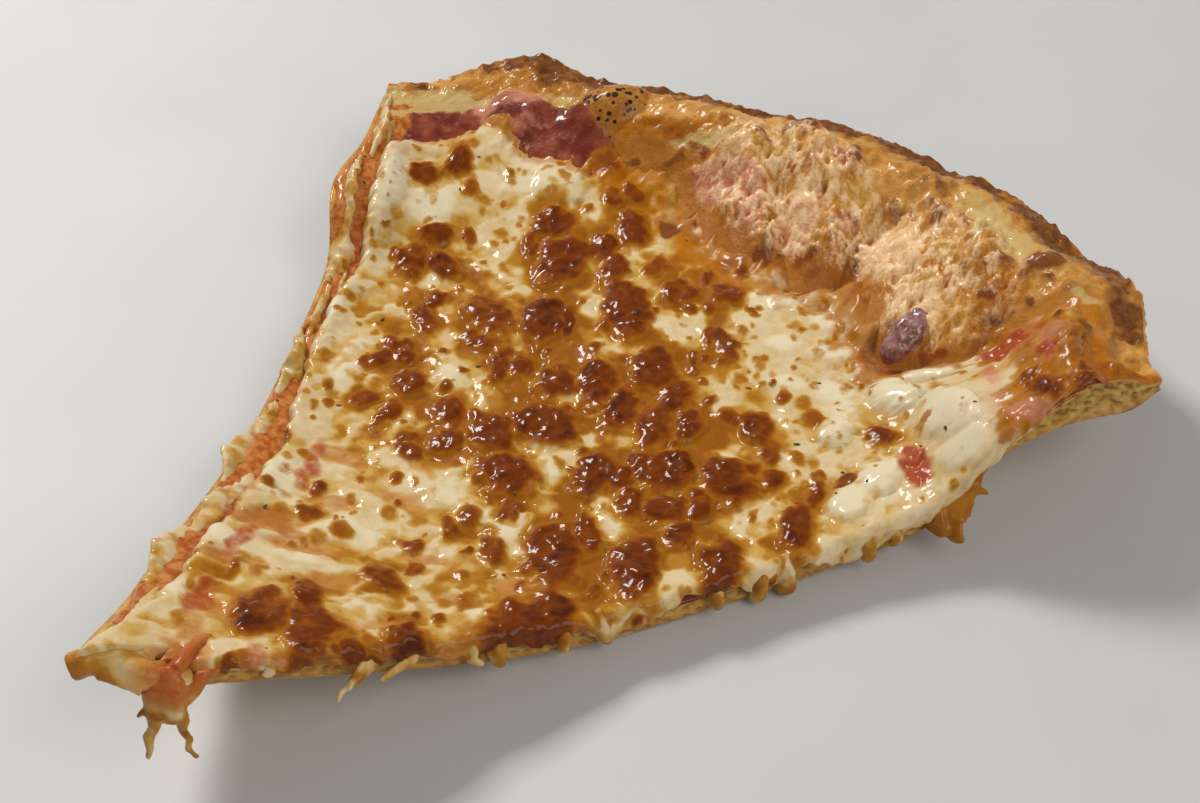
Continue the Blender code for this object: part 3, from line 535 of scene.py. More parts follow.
def left_inset(t):
    r = t * 200
    known, wide = [0, 15, 23, 36, 60, 96, 118, 141, 156, 185, 200], [1.2, 3.2, 4.8, 6.2, 7.6, 8.2, 6.2, 5.6, 7.6, 7.3, 6.5]
    uneven = 1.5 * noise(r / 9.0, 3.5, 0, 93) + 0.9 * noise(r / 3.4, 9.5, 0, 94) + 0.4 * noise(r / 1.4, 1.5, 0, 94)
    return np.maximum(np.interp(r, known, wide) + uneven * smooth(0, 30, r), 0.8)


def build_cheese(material):
    skin = Skin()
    rows = int(200 / STEP)
    nx, ny = np.cos(RIGHT), -np.sin(RIGHT)
    lap_k = 22
    w = np.arange(1, lap_k + 1) / lap_k
    gathered = []
    for i in range(rows + 1):
        tau = (i / rows) ** 0.94
        width = float(row_width(0.87 * tau))
        inset = float(left_inset(tau))
        s0 = min(0.5, inset / width)
        near = np.array([0, 0.05, 0.2, 0.5, 0.95, 1.5]) / width
        inner = np.linspace(s0 + 2.1 / width, 1.0, max(8, int((width - inset) / STEP)))
        s = np.concatenate([s0 + near, inner])
        wob = 0.011 * noise(s * 19, 0.4, 0, 95) + 0.008 * noise(s * 55, 0.9, 0, 96) + 0.004 * noise(s * 130, 1.9, 0, 97)
        t = (cheese_reach(s) + wob * smooth(0.55, 1.0, tau)) * tau
        x, y = plan(s, t)
        r = float(x[-1] * np.sin(RIGHT) + y[-1] * np.cos(RIGHT))
        long = float(drip_length(r)) * min(1.0, tau * 66 + 0.3)
        unrolled = w * (long + 1.0)
        gathered.append((tau, width, s0, s, x, y, r, long, x[-1] + nx * unrolled, y[-1] + ny * unrolled))
    xs = np.concatenate([np.concatenate([g[4], g[8]]) for g in gathered])
    ys = np.concatenate([np.concatenate([g[5], g[9]]) for g in gathered])
    relief_all, marks_all = cheese_fields(xs, ys)
    start = 0
    ends, first, previous = [], None, None
    for tau, width, s0, s, x, y, r, long, _, _ in gathered:
        n = x.size
        z = relief_all[start : start + n + lap_k]
        marks = {k: v[start : start + n + lap_k].copy() for k, v in marks_all.items()}
        start += n + lap_k
        dl = (s - s0) * width
        dc = (1 - tau) * 198.0
        dt = tau * 198.0
        bead = np.sqrt(np.clip(1 - (1 - np.clip(dl / 2.0, 0, 1)) ** 2, 0, 1))
        fade = float(smooth(0, 1, np.clip(dc / 6.5, 0, 1)) ** 0.8)
        front = float(np.sqrt(np.clip(1 - (1 - min(dt / 1.6, 1)) ** 2, 0, 1)))
        thick = CHEESE_T * (1 - 0.25 * smooth(45, 5, y)) * (1 + 0.45 * np.exp(-((dl - 2.6) / 2.6) ** 2))
        thick = thick * (1 - 0.55 * smooth(22, 4, dc) * smooth(0.30, 0.42, s))
        base = cheese_base(x, y)
        calm = 1 - 0.4 * smooth(12, 2, dc)
        relief = (thick + z[:n] * calm) * bead * fade * front
        top = base - 0.25 + np.maximum(relief, 0) + 0.25 * front * bead * fade
        top = top - 2.3 * (1 - fade) * smooth(0.255, 0.33, s)
        thin = np.concatenate([np.clip(1 - bead * 1.1, 0, 1) * 0.5 + 0.80 * smooth(6.5, 0, dc) * smooth(0.42, 0.3, s), 0.10 + 0.55 * w**1.5])
        marks["thin"] = np.clip(thin, 0, 1)
        marks["tan"] = np.maximum(marks["tan"], np.concatenate([smooth(19, 3, dc) * smooth(0.27, 0.33, s) * (0.70 + 0.6 * fbm(x / 4, y / 4, 3, 2, 72)), 0 * w]))
        marks["side"] = np.concatenate([0 * x, w])
        # over the right-hand cut and down
        long = min(long, float(top[-1]) - 0.3)
        rho = min(2.0, long * 0.8)
        arc = np.clip(w / 0.42, 0, 1) * np.pi / 2
        down = np.clip((w - 0.42) / 0.44, 0, 1)
        curl = np.clip((w - 0.86) / 0.14, 0, 1)
        e = rho * np.sin(arc) - 0.3 * down - (rho - 0.1) * curl**0.8
        d = rho * (1 - np.cos(arc)) + down * (long - rho) - 0.5 * curl
        lump = 0.9 * fbm(r / 3.2 + 0 * w, d / 4.5, 1.1, 3, 98) + 0.35 * noise(r / 1.2 + 0 * w, d / 2.0, 2.1, 99)
        e = e + (lump + 0.55 * (z[n:] - z[n - 1])) * np.sin(np.pi * w) * 0.9
        px = np.concatenate([x, x[-1] + nx * e * fade])
        py = np.concatenate([y, y[-1] + ny * e * fade])
        pz = np.concatenate([top, top[-1] - d])
        idx = skin.line(px, py, pz, **marks)
        param = np.concatenate([s, 1 + w * 0.05])
        if previous is not None:
            skin.stitch(previous[0], idx, previous[1], param)
        previous = (idx, param)
        ends.append((idx[0], idx[-1], tau))
        first = first if first is not None else previous
    last = previous
    # the hidden lower face, coarse
    low_rows = 60
    lows, prev = [], None
    for i in range(low_rows + 1):
        tau = (i / low_rows) ** 0.94
        width = float(row_width(0.87 * tau))
        s = np.linspace(min(0.5, float(left_inset(tau)) / width), 1.0, max(6, int(width / 4)))
        x, y = plan(s, cheese_reach(s) * tau)
        x, y = x - nx * 0.4 * (s > 0.999), y - ny * 0.4 * (s > 0.999)
        idx = skin.line(x, y, cheese_base(x, y) - 0.6 - 2.3 * smooth(0.955, 1.0, tau) * smooth(0.255, 0.33, s), thin=0.5)
        if prev is not None:
            skin.stitch(prev[0], idx, prev[1], s, flip=True)
        prev = (idx, s)
        lows.append((idx, s, tau))
    top_left = np.array([e[0] for e in ends])
    top_right = np.array([e[1] for e in ends])
    tt = np.array([e[2] for e in ends])
    low_left = np.array([l[0][0] for l in lows])
    low_right = np.array([l[0][-1] for l in lows])
    lt = np.array([l[2] for l in lows])
    skin.stitch(low_right, top_right, lt, tt)
    skin.stitch(low_left[::-1], top_left[::-1], -lt[::-1], -tt[::-1])
    skin.stitch(lows[0][0], first[0], lows[0][1], first[1])
    skin.stitch(lows[-1][0][::-1], last[0][::-1], -lows[-1][1][::-1], -last[1][::-1])
    return skin.build("cheese_melted", material, "cheese")


# ------------------------------------------------------------------ a slab whose side is a closed band
def slab(name, material, node, t_values, s_values, top, low, low_t, low_s, edge_u, side, levels):
    """t_values: the lines of the upper face. s_values(i, t): their stations. top and low give heights and marks.
    side(u, w) displaces and marks the band between the faces."""
    skin = Skin()

    def sheet(ts, ss, height, flip):
        lines, prev = [], None
        for i, t in enumerate(ts):
            s = ss(i, t)
            tt = t * edge_u(s)
            x, y = plan(s, tt)
            z, marks = height(x, y, s, tt)
            idx = skin.line(x, y, z, **marks)
            if prev is not None:
                skin.stitch(prev[0], idx, prev[1], s, flip=flip)
            prev = (idx, s)
            lines.append((idx, s, t))
        loop = np.concatenate([lines[0][0], [l[0][-1] for l in lines[1:]], lines[-1][0][-2::-1], [l[0][0] for l in lines[-2::-1]]])
        u = np.concatenate([lines[0][1], [1 + l[2] for l in lines[1:]], 3 - lines[-1][1][-2::-1], [4 - l[2] for l in lines[-2::-1]]])
        return loop, u

    a, ua = sheet(t_values, s_values, top, False)
    b, ub = sheet(low_t, low_s, low, True)
    # the band: closed lines, denser than the faces' own edges
    lengths = (19.0, 200.0, 235.0, 200.0)
    u = np.concatenate([k + np.arange(n) / n for k, n in enumerate([max(6, int(l / (STEP * 1.15))) for l in lengths])])
    t = np.select([u < 1, u < 2, u < 3], [0 * u, u - 1, 1 + 0 * u], 4 - u)
    s = np.select([u < 1, u < 2, u < 3], [u, 1 + 0 * u, 3 - u], 0 * u)
    x, y = plan(s, t * edge_u(s))
    gx, gy = np.roll(x, -2) - np.roll(x, 2), np.roll(y, -2) - np.roll(y, 2)
    n = np.hypot(gx, gy) + 1e-9
    ox, oy = gy / n, -gx / n
    z1, _ = top(x, y, s, t * edge_u(s))
    z0, _ = low(x, y, s, t * edge_u(s))
    previous, up = a, ua
    for k in range(1, levels + 1):
        w = (k - 0.5) / levels
        z = z1 + (z0 - z1) * w
        out, lift, marks = side(u, w, x, y, z)
        idx = skin.line(x + ox * out, y + oy * out, z + lift, **marks)
        idx = np.concatenate([idx, idx[:1]])
        uu = np.concatenate([u, [4.0]])
        skin.stitch(idx, previous, uu, up)
        previous, up = idx, uu
    skin.stitch(b, previous, ub, up)
    return skin.build(name, material, node)


# ------------------------------------------------------------------ dough
def crust_fields(x, y, s, t):
    rn, p = polar(x, y)
    rest = (np.maximum(cheese_reach(s), np.where(s < 0.34, sauce_reach(s), 0)) - t) * 210           # mm still under cheese or sauce
    bare = smooth(2.0, -3.0, rest)
    top = dough_top(x, y)
    marks = palette(x, y)
    f1, _ = cells(x / 1.6, y / 1.6, 121)
    g1, _ = cells((x + 1.5 * noise(x / 4, y / 4, 9, 120)) / 5.2, y / 5.2, 122)
    knob, _ = cells(x / 3.1, y / 3.1, 119)
    away, across = -0.66 * x + 0.75 * y, 0.75 * x + 0.66 * y
    away, across = away + 2.0 * noise(x / 8, y / 8, 0, 123), across + 2.0 * noise(x / 8, y / 8, 5, 123)
    streaks = 1 - np.abs(fbm(across / 2.6, away / 9.0, 0.7, 3, 126)) * 2.4
    foam = fbm(x / 1.3, y / 1.3, 0.4, 3, 124)
    on_a = np.clip(1 - ((x - 3) / 27) ** 2 - ((y - 199) / 20) ** 2, 0, 1) ** 0.5
    on_b = np.clip(1 - ((x - 42) / 25) ** 2 - ((y - 192) / 22) ** 2, 0, 1) ** 0.5
    cu, cv = (x + 49.6) * 0.39 + (y - 201.2) * 0.92, -(x + 49.6) * 0.92 + (y - 201.2) * 0.39
    on_c = np.clip(1 - (cu / 11.6) ** 2 - (cv / 8.0) ** 2, 0, 1) ** 0.5
    hump = np.clip(1 - ((x + 68) / 10) ** 2 - ((y - 188.5) / 9) ** 2, 0, 1) ** 0.5
    lace = np.clip(on_a + on_b, 0, 1)
    outer = smooth(0.94, 0.985, rn)
    # two swellings with a furrow between them on the left-hand bubble
    across0 = 0.75 * (x - 3) + 0.66 * (y - 199)
    furrow = -2.4 * bump(across0, 0.0, 3.2) * on_a + 1.3 * (bump(across0, -8, 6) + bump(across0, 9, 6)) * on_a
    detail = 1.15 * fbm(x / 6.0, y / 6.0, 0.9, 3, 127) + 0.55 * np.clip(0.62 - g1, 0, 1) * 1.6
    detail = detail + lace * 1.05 * np.clip(streaks, -0.6, 1) + 0.52 * foam * (0.5 + 1.1 * lace) + 0.22 * np.clip(0.6 - f1, 0, 1)
    outer = outer * (1 - 0.75 * smooth(24.5, 28.0, p))
    crag = outer * (0.7 * fbm(x / 3.0, y / 3.0, 6.9, 3, 128) + 0.9 * np.clip(0.5 - knob, 0, 1))
    ridge2 = 1 - np.abs(fbm(x / 3.4, y / 3.4, 3.3, 3, 133)) * 2.6
    h1, _ = cells((x + noise(x / 3, y / 3, 0, 134)) / 3.3, y / 3.3, 135)
    warts = np.sqrt(np.clip(1 - (h1 / 0.5) ** 2, 0, 1)) * smooth(-0.1, 0.3, fbm(x / 11, y / 11, 2.4, 2, 136))
    detail = detail + 0.50 * np.clip(ridge2, -0.3, 1) + 0.55 * warts
    detail = detail + furrow + crag + 0.9 * marks["dark"] + 0.5 * marks["rust"]
    detail = detail * (1 - 0.75 * on_c) * (1 + 0.35 * lace) - 0.5 * marks["pale"]
    detail = detail * bare
    brown = 0.16 + 0.95 * outer + 0.45 * smooth(0.90, 0.95, rn) * (0.5 + 0.9 * fbm(x / 9, y / 9, 3, 3, 128)) - 0.30 * lace
    brown = brown * (0.75 + 0.6 * fbm(x / 4, y / 4, 4, 3, 129)) + 0.30 * smooth(0.2, 0.6, fbm(x / 6, y / 6, 6, 3, 130))
    brown = np.clip(brown - 0.6 * marks["pale"] - 0.5 * on_c - 0.35 * smooth(24, 27, p) - 0.45 * smooth(-21.5, -24.5, p) - 0.55 * hump, 0, 1)
    char = np.clip(1.0 * on_c + 0.9 * hump * smooth(0.90, 0.97, rn) + 0.30 * outer * smooth(0.2, 0.6, fbm(x / 7, y / 7, 8, 3, 131)), 0, 1)
    marks.update(brown=brown, char=char, furrows=np.clip(0.5 - 0.75 * streaks, 0, 1) * lace, warts=warts * bare, lace=lace, foam=np.clip(0.5 + 0.9 * foam, 0, 1) * bare, tanned=on_c,
                 oil=np.clip(smooth(7, -2, rest) * smooth(-9, -2, rest) * 0.9, 0, 1), crumb=0 * x, base=0 * x, pore=0 * x)
    return top + detail, marks


def under_fields(x, y, s, t):
    z = under(x, y)
    flat = smooth(40, 46, np.hypot(x - 10, y - 133))
    ripple = 0.35 * fbm(x / 9, y / 9, 1.7, 3, 141) + 0.16 * fbm(x / 2.2, y / 2.2, 2.7, 2, 142)
    z = z + flat * (ripple + 0.3)
    rn, p = polar(x, y)
    spots_ = fbm(x / 8, y / 8, 2.5, 4, 143)
    return z, dict(base=1.0, brown=np.clip(0.35 + 0.9 * spots_ + 0.3 * smooth(0.9, 1.0, rn), 0, 1), char=np.clip(smooth(0.35, 0.62, spots_), 0, 1))


def dough_side(u, w, x, y, z):
    """Cut faces show crumb with pores; the outer side is a rounded brown crust."""
    crust = ((u > 2.0) & (u < 3.0)).astype(float)
    near = np.minimum(np.abs(u - 2.0), np.abs(u - 3.0)) * 230
    crust = crust * smooth(0, 3, near)
    along = np.where(u < 2.5, x * np.sin(RIGHT) + y * np.cos(RIGHT), x * np.sin(LEFT) + y * np.cos(LEFT))
    p1, p2 = cells(along / 2.6, z / 1.5, 151)
    q1, _ = cells(along / 1.1, z / 0.9, 152)
    pore = np.clip(0.50 - p1, 0, 1) * 2.2 + np.clip(0.45 - q1, 0, 1) * 0.9
    ragged = 0.70 * fbm(along / 3.0, z / 2.2, 0.3, 3, 153)
    arch = np.sin(np.pi * w)
    cut = (-0.25 - pore * 0.8 + ragged + 0.5 * (1 - arch)) * arch**0.5
    rough = 0.35 * fbm(x / 3, y / 3, z / 3, 3, 154) + 0.30 * noise(x / 1.2, y / 1.2, z / 1.2, 157)
    out = crust * (0.9 + rough) * arch + (1 - crust) * cut
    golden = 1 - 0.75 * (1 - smooth(2.05, 2.20, u)) * crust
    baked = np.clip(smooth(0.74, 0.95, w) + 0.7 * smooth(0.16, 0.0, w) + 0.30 * smooth(190, 160, np.abs(along)), 0, 1)
    return out, 0.0, dict(crumb=(1 - crust) * (1 - 0.8 * baked), brown=np.clip(golden * crust * (0.85 + 0.5 * noise(x / 5, y / 5, z / 5, 155)) + (1 - crust) * baked * 0.65, 0, 1),
                          char=crust * np.clip(smooth(0.15, 0.6, noise(x / 7, y / 7, z / 7, 156)), 0, 1) * 0.8,
                          base=(1 - crust) * smooth(0.85, 1.0, w), pore=np.clip(pore, 0, 1) * (1 - crust))


def build_dough(material):
    coarse = np.arange(0, 0.735, 0.006)
    fine = np.linspace(0.74, 1.0, int(60 / STEP))
    ts = np.concatenate([coarse, fine])

    def stations(i, t):
        width = float(row_width(t))
        if t < 0.738:
            edge = np.arange(0, 9.0, 0.9) / width
            mid = np.linspace(min(0.45, 9.0 / width), 1 - 3.0 / width if width > 12 else 0.8, max(4, int(width / 5)))
            return np.concatenate([edge[edge < mid[0] - 1e-4], mid, [1.0]])
        return np.linspace(0, 1, int(width / (STEP * 1.05)))

    def low_stations(i, t):
        width = float(row_width(t))
        return np.linspace(0, 1, max(8, int(width / 1.6)))

    return slab("dough_crust", material, "dough", ts, stations, crust_fields, under_fields,
                np.linspace(0, 1, 130), low_stations, lambda s: np.ones_like(s), dough_side, 12)


# ------------------------------------------------------------------ sauce
def build_sauce(material):
    edge = sauce_reach
    coarse = np.arange(0, 0.80, 0.008)
    fine = np.linspace(0.805, 1.0, int(38 / STEP))
    ts = np.concatenate([coarse, fine])

    def stations(i, t):
        width = float(row_width(t * 0.93))
        if t < 0.80:
            edge_s = np.arange(0, 9.0, 0.6) / width
            mid = np.linspace(min(0.45, 9.0 / width), 1.0, max(4, int(width / 6)))
            return np.concatenate([edge_s[edge_s < mid[0] - 1e-4], mid])
        return np.linspace(0, 1, int(width / (STEP * 1.3)))

    def top(x, y, s, t):
        rest = (edge(s) - t) * 210
        inset = s * row_width(t) - 0.9 - 0.9 * noise(t * 40, 2.5, 0, 163)
        lift = np.clip(smooth(-0.8, 1.6, inset), 0, 1)
        z = sauce_top(x, y, rest)
        z = dough_top(x, y) - 0.35 + (z - dough_top(x, y) + 0.35) * lift * smooth(0, 1.2, rest)
        clot = np.clip(fbm(x / 4.0, y / 4.0, 5.2, 3, 164), 0, 1)
        z = z + 0.7 * clot * lift * smooth(0, 3, rest)
        marks = palette(x, y)
        marks.update(edge=smooth(3, 0, rest), ledge=smooth(12, 8, s * row_width(t)), clot=clot)
        return z, marks

    def low(x, y, s, t):
        return dough_top(x, y) - 0.6, dict(edge=0.5)

    def side(u, w, x, y, z):
        return -0.15 + 0.25 * noise(u * 90, z / 1.0, 0, 165) + 0 * x, 0.0, dict(edge=0.3)

    def low_stations(i, t):
        return np.linspace(0, 1, max(5, int(row_width(t) / 4)))

    return slab("sauce_layer", material, "tomato_sauce", ts, stations, top, low, np.linspace(0, 1, 60), low_stations, edge, side, 2)


# ------------------------------------------------------------------ loose cheese: strings, drips and smears, melted together by a fine remesh
def blob_piece(name, chains, material, voxel=0.35, marks=None, crags=0.16):
    """chains: lists of (x, y, z, radius, flatten) in slice millimetres; beads along each chain are fused."""
    verts, faces = [], []
    ring = 10
    for chain in chains:
        pts = np.array(chain, float)
        dist = np.concatenate([[0], np.cumsum(np.linalg.norm(np.diff(pts[:, :3], axis=0), axis=1))])
        n = max(2, int(dist[-1] / (voxel * 1.2)) + 1)
        at = np.linspace(0, dist[-1], n)
        cols = [np.interp(at, dist, pts[:, k]) for k in range(5)]
        c = np.stack(cols[:3], -1)
        rad, flat = cols[3], cols[4]
        wob = 1 + 0.15 * noise(at / 2.6, len(name) + len(chain) * 3.1, 0, 171)
        tangent = np.gradient(c, axis=0)
        tangent /= np.linalg.norm(tangent, axis=1)[:, None] + 1e-9
        side = np.cross(tangent, np.array([0.35, -0.94, 0.0]) + 0 * tangent)
        side /= np.linalg.norm(side, axis=1)[:, None] + 1e-9
        other = np.cross(side, tangent)
        base = len(verts)
        for k in range(n):
            for j in range(ring):
                a = 2 * np.pi * j / ring
                p = c[k] + side[k] * np.cos(a) * rad[k] * wob[k] + other[k] * np.sin(a) * rad[k] * wob[k] * flat[k]
                verts.append(p)
        for k in range(n - 1):
            for j in range(ring):
                a, b = base + k * ring + j, base + k * ring + (j + 1) % ring
                faces.append((a, b, b + ring, a + ring))
        faces.append(tuple(base + j for j in range(ring))[::-1])
        faces.append(tuple(base + (n - 1) * ring + j for j in range(ring)))
    co = (np.array(verts) - np.array([ORIGIN[0], ORIGIN[1], 0])) * MM
    mesh = bpy.data.meshes.new(name)
    mesh.from_pydata([tuple(v) for v in co], [], faces)
    temp = bpy.data.objects.new(name + "_t", mesh)
    bpy.context.scene.collection.objects.link(temp)
    remesh = temp.modifiers.new("melt", "REMESH")
    remesh.mode = "VOXEL"
    remesh.voxel_size = voxel * MM
    soft = temp.modifiers.new("soft", "SMOOTH")
    soft.factor, soft.iterations = 0.5, 5
    graph = bpy.context.evaluated_depsgraph_get()
    final = bpy.data.meshes.new_from_object(temp.evaluated_get(graph))
    bpy.data.objects.remove(temp)
    final.name = name
    n = len(final.vertices)
    co = np.empty(n * 3, np.float32)
    final.vertices.foreach_get("co", co)
    co = co.reshape(-1, 3) / MM
    nor = np.empty(n * 3, np.float32)
    final.vertices.foreach_get("normal", nor)
    rough = crags * fbm(co[:, 0] / 1.3, co[:, 1] / 1.3, co[:, 2] / 1.3, 3, 172)
    co = (co + nor.reshape(-1, 3) * rough[:, None]) * MM
    final.vertices.foreach_set("co", co.astype(np.float32).ravel())
    values = dict(bake=0, amber=0.35, red=0, white=0, thin=0.3, side=0.5)
    values.update(marks or {})
    for mark, v in values.items():
        field = final.attributes.new(mark, "FLOAT", "POINT")
        field.data.foreach_set("value", (np.zeros(n) + (v(co / MM + np.array([ORIGIN[0], ORIGIN[1], 0])) if callable(v) else v)).astype(np.float32))
    final.shade_smooth()
    return place(name, final, material)


# ------------------------------------------------------------------ materials
class Graph:
    def __init__(self, name):
        self.material = bpy.data.materials.new(name)
        self.material.use_nodes = True
        self.tree = self.material.node_tree
        self.shader = self.tree.nodes["Principled BSDF"]
        self.coord = self.tree.nodes.new("ShaderNodeTexCoord").outputs["Object"]

    def _in(self, socket, value):
        if isinstance(value, bpy.types.NodeSocket):
            self.tree.links.new(value, socket)
        else:
            socket.default_value = value

    def attr(self, name):
        n = self.tree.nodes.new("ShaderNodeAttribute")
        n.attribute_name = name
        return n.outputs["Fac"]

    def stretched(self, sx, sy, sz, turn=0.0):
        n = self.tree.nodes.new("ShaderNodeMapping")
        n.inputs["Scale"].default_value = (sx, sy, sz)
        n.inputs["Rotation"].default_value = (0, 0, radians(turn))
        self.tree.links.new(self.coord, n.inputs["Vector"])
        return n.outputs[0]

    def noise(self, size_mm, detail=4.0, rough=0.55, distort=0.0, vector=None):
        n = self.tree.nodes.new("ShaderNodeTexNoise")
        n.inputs["Scale"].default_value = 1000.0 / size_mm
        n.inputs["Detail"].default_value = detail
        n.inputs["Roughness"].default_value = rough
        n.inputs["Distortion"].default_value = distort
        self.tree.links.new(vector or self.coord, n.inputs["Vector"])
        return n.outputs["Fac"]

    def cells(self, size_mm, feature="F1", random=1.0):
        n = self.tree.nodes.new("ShaderNodeTexVoronoi")
        n.feature = feature
        n.inputs["Scale"].default_value = 1000.0 / size_mm
        n.inputs["Randomness"].default_value = random
        self.tree.links.new(self.coord, n.inputs["Vector"])
        return n.outputs["Distance"]

    def math(self, op, a, b=0.0, clamp=False):
        n = self.tree.nodes.new("ShaderNodeMath")
        n.operation = op
        n.use_clamp = clamp
        self._in(n.inputs[0], a)
        self._in(n.inputs[1], b)
        return n.outputs[0]

    def span(self, v, a, b, c=0.0, d=1.0, smoothly=True):
        n = self.tree.nodes.new("ShaderNodeMapRange")
        n.interpolation_type = "SMOOTHSTEP" if smoothly else "LINEAR"
        self._in(n.inputs["Value"], v)
        for key, value in (("From Min", a), ("From Max", b), ("To Min", c), ("To Max", d)):
            n.inputs[key].default_value = value
        return n.outputs[0]

    def mix(self, fac, a, b, kind="MIX"):
        n = self.tree.nodes.new("ShaderNodeMix")
        n.data_type = "RGBA"
        n.blend_type = kind
        n.clamp_factor = True
        self._in(n.inputs[0], fac)
        self._in(n.inputs[6], (*a, 1) if isinstance(a, tuple) else a)
        self._in(n.inputs[7], (*b, 1) if isinstance(b, tuple) else b)
        return n.outputs[2]

    def ramp(self, fac, stops):
        n = self.tree.nodes.new("ShaderNodeValToRGB")
        n.color_ramp.interpolation = "EASE"
        for k, (at, colour) in enumerate(stops):
            e = n.color_ramp.elements[k] if k < 2 else n.color_ramp.elements.new(at)
            e.position = at
            e.color = (*colour, 1)
        self._in(n.inputs[0], fac)
        return n.outputs[0]

    def bumped(self, layers):
        normal = None
        for height, distance_mm, strength in layers:
            n = self.tree.nodes.new("ShaderNodeBump")
            n.inputs["Distance"].default_value = distance_mm * MM
            n.inputs["Strength"].default_value = strength
            self._in(n.inputs["Height"], height)
            if normal is not None:
                self.tree.links.new(normal, n.inputs["Normal"])
            normal = n.outputs[0]
        self.tree.links.new(normal, self.shader.inputs["Normal"])

    def surface(self, colour, roughness, **constants):
        self._in(self.shader.inputs["Base Color"], colour)
        self._in(self.shader.inputs["Roughness"], roughness)
        for key, value in constants.items():
            self.shader.inputs[key.replace("_", " ")].default_value = value
        return self.material


def shared_colours(g, colour, n_mid, ragged):
    """The fields of colour that cheese and dough have in common, laid over a base colour."""
    def over(name, low, high, most, tint, under_colour):
        v = g.math("ADD", g.attr(name), g.math("MULTIPLY", g.math("SUBTRACT", ragged, 0.5), 0.95))
        return g.mix(g.span(v, low, high, 0, most), under_colour, tint)

    colour = over("gold", 0.20, 0.90, 0.60, (0.64, 0.33, 0.035), colour)
    colour = over("tan", 0.18, 0.60, 0.85, (0.45, 0.150, 0.003), colour)
    colour = over("tan", 0.62, 1.10, 0.75, (0.27, 0.068, 0.002), colour)
    colour = over("light", 0.15, 0.75, 0.70, (0.88, 0.60, 0.30), colour)
    colour = over("pink", 0.15, 0.75, 0.75, (0.64, 0.25, 0.16), colour)
    colour = over("pale", 0.25, 0.75, 0.90, (0.58, 0.41, 0.15), colour)
    colour = over("rust", 0.25, 0.75, 0.85, (0.33, 0.062, 0.011), colour)
    colour = over("dark", 0.20, 0.70, 0.90, (0.20, 0.055, 0.012), colour)
    return colour


def cheese_material():
    g = Graph("melted_cheese")
    bake, amber, red, white, thin, side, pulled = (g.attr(k) for k in ("bake", "amber", "red", "white", "thin", "side", "pulled"))
    n_big, n_mid, n_fine = g.noise(9.0, 4), g.noise(2.6, 5, 0.6), g.noise(0.8, 4, 0.6)
    cream = g.mix(g.span(n_big, 0.35, 0.68), (0.71, 0.55, 0.32), (0.64, 0.44, 0.185))
    cream = g.mix(g.span(n_mid, 0.42, 0.70, 0, 0.5), cream, (0.78, 0.68, 0.44))
    cream = g.mix(g.span(white, 0.15, 0.85, 0, 0.80), cream, (0.80, 0.71, 0.49))
    golden = g.math("ADD", amber, g.math("MULTIPLY", g.math("SUBTRACT", n_mid, 0.5), 0.75))
    golden = g.math("ADD", golden, g.math("MULTIPLY", side, 0.12))
    colour = g.mix(g.span(golden, 0.08, 0.36, 0, 0.82), cream, (0.57, 0.32, 0.045))
    colour = g.mix(g.span(golden, 0.32, 0.64, 0, 0.90), colour, (0.43, 0.170, 0.008))
    colour = g.mix(g.span(golden, 0.62, 1.02, 0, 0.85), colour, (0.28, 0.082, 0.003))
    streaky = g.math("ADD", pulled, g.math("MULTIPLY", g.math("SUBTRACT", n_mid, 0.5), 0.8))
    colour = g.mix(g.span(streaky, 0.15, 0.50, 0, 0.75), colour, (0.56, 0.26, 0.060))
    colour = g.mix(g.span(streaky, 0.45, 0.90, 0, 0.80), colour, (0.42, 0.125, 0.016))
    # sauce and oil showing through
    seen = g.math("ADD", thin, g.math("MULTIPLY", g.math("SUBTRACT", n_mid, 0.5), 0.8))
    colour = g.mix(g.span(seen, 0.30, 0.85, 0, 0.75), colour, (0.52, 0.20, 0.035))
    colour = shared_colours(g, colour, n_mid, n_mid)
    reds = g.math("ADD", red, g.math("MULTIPLY", g.math("SUBTRACT", n_mid, 0.5), 0.8))
    colour = g.mix(g.span(reds, 0.20, 0.55, 0, 0.6), colour, (0.52, 0.15, 0.035))
    colour = g.mix(g.span(reds, 0.45, 0.85, 0, 0.9), colour, (0.38, 0.055, 0.016))
    # blisters, from a golden brown rim to a dark red-brown middle
    wobble = g.math("ADD", bake, g.math("MULTIPLY", g.math("SUBTRACT", n_mid, 0.5), 0.34))
    wobble = g.math("ADD", wobble, g.math("MULTIPLY", g.math("SUBTRACT", n_fine, 0.5), 0.24))
    colour = g.mix(g.span(wobble, 0.12, 0.38, 0, 0.85), colour, (0.36, 0.125, 0.006))
    colour = g.mix(g.span(wobble, 0.32, 0.58, 0, 0.92), colour, (0.265, 0.064, 0.003))
    colour = g.mix(g.span(wobble, 0.54, 0.86, 0, 0.92), colour, (0.165, 0.032, 0.002))
    deep = g.math("ADD", wobble, g.math("MULTIPLY", g.math("SUBTRACT", n_big, 0.5), 0.9))
    colour = g.mix(g.span(deep, 0.86, 1.30, 0, 0.85), colour, (0.060, 0.010, 0.003))
    rough = g.span(g.math("ADD", golden, bake), 0.1, 0.9, 0.40, 0.30)
    g.bumped([(n_mid, 0.24, 0.45), (n_fine, 0.12, 0.40)])
    return g.surface(colour, rough, Subsurface_Weight=0.16, Subsurface_Radius=(1.0, 0.5, 0.2), Subsurface_Scale=0.0016,
                     Specular_IOR_Level=0.06, Coat_Weight=0.42, Coat_Roughness=0.07, Coat_IOR=1.38, IOR=1.42)


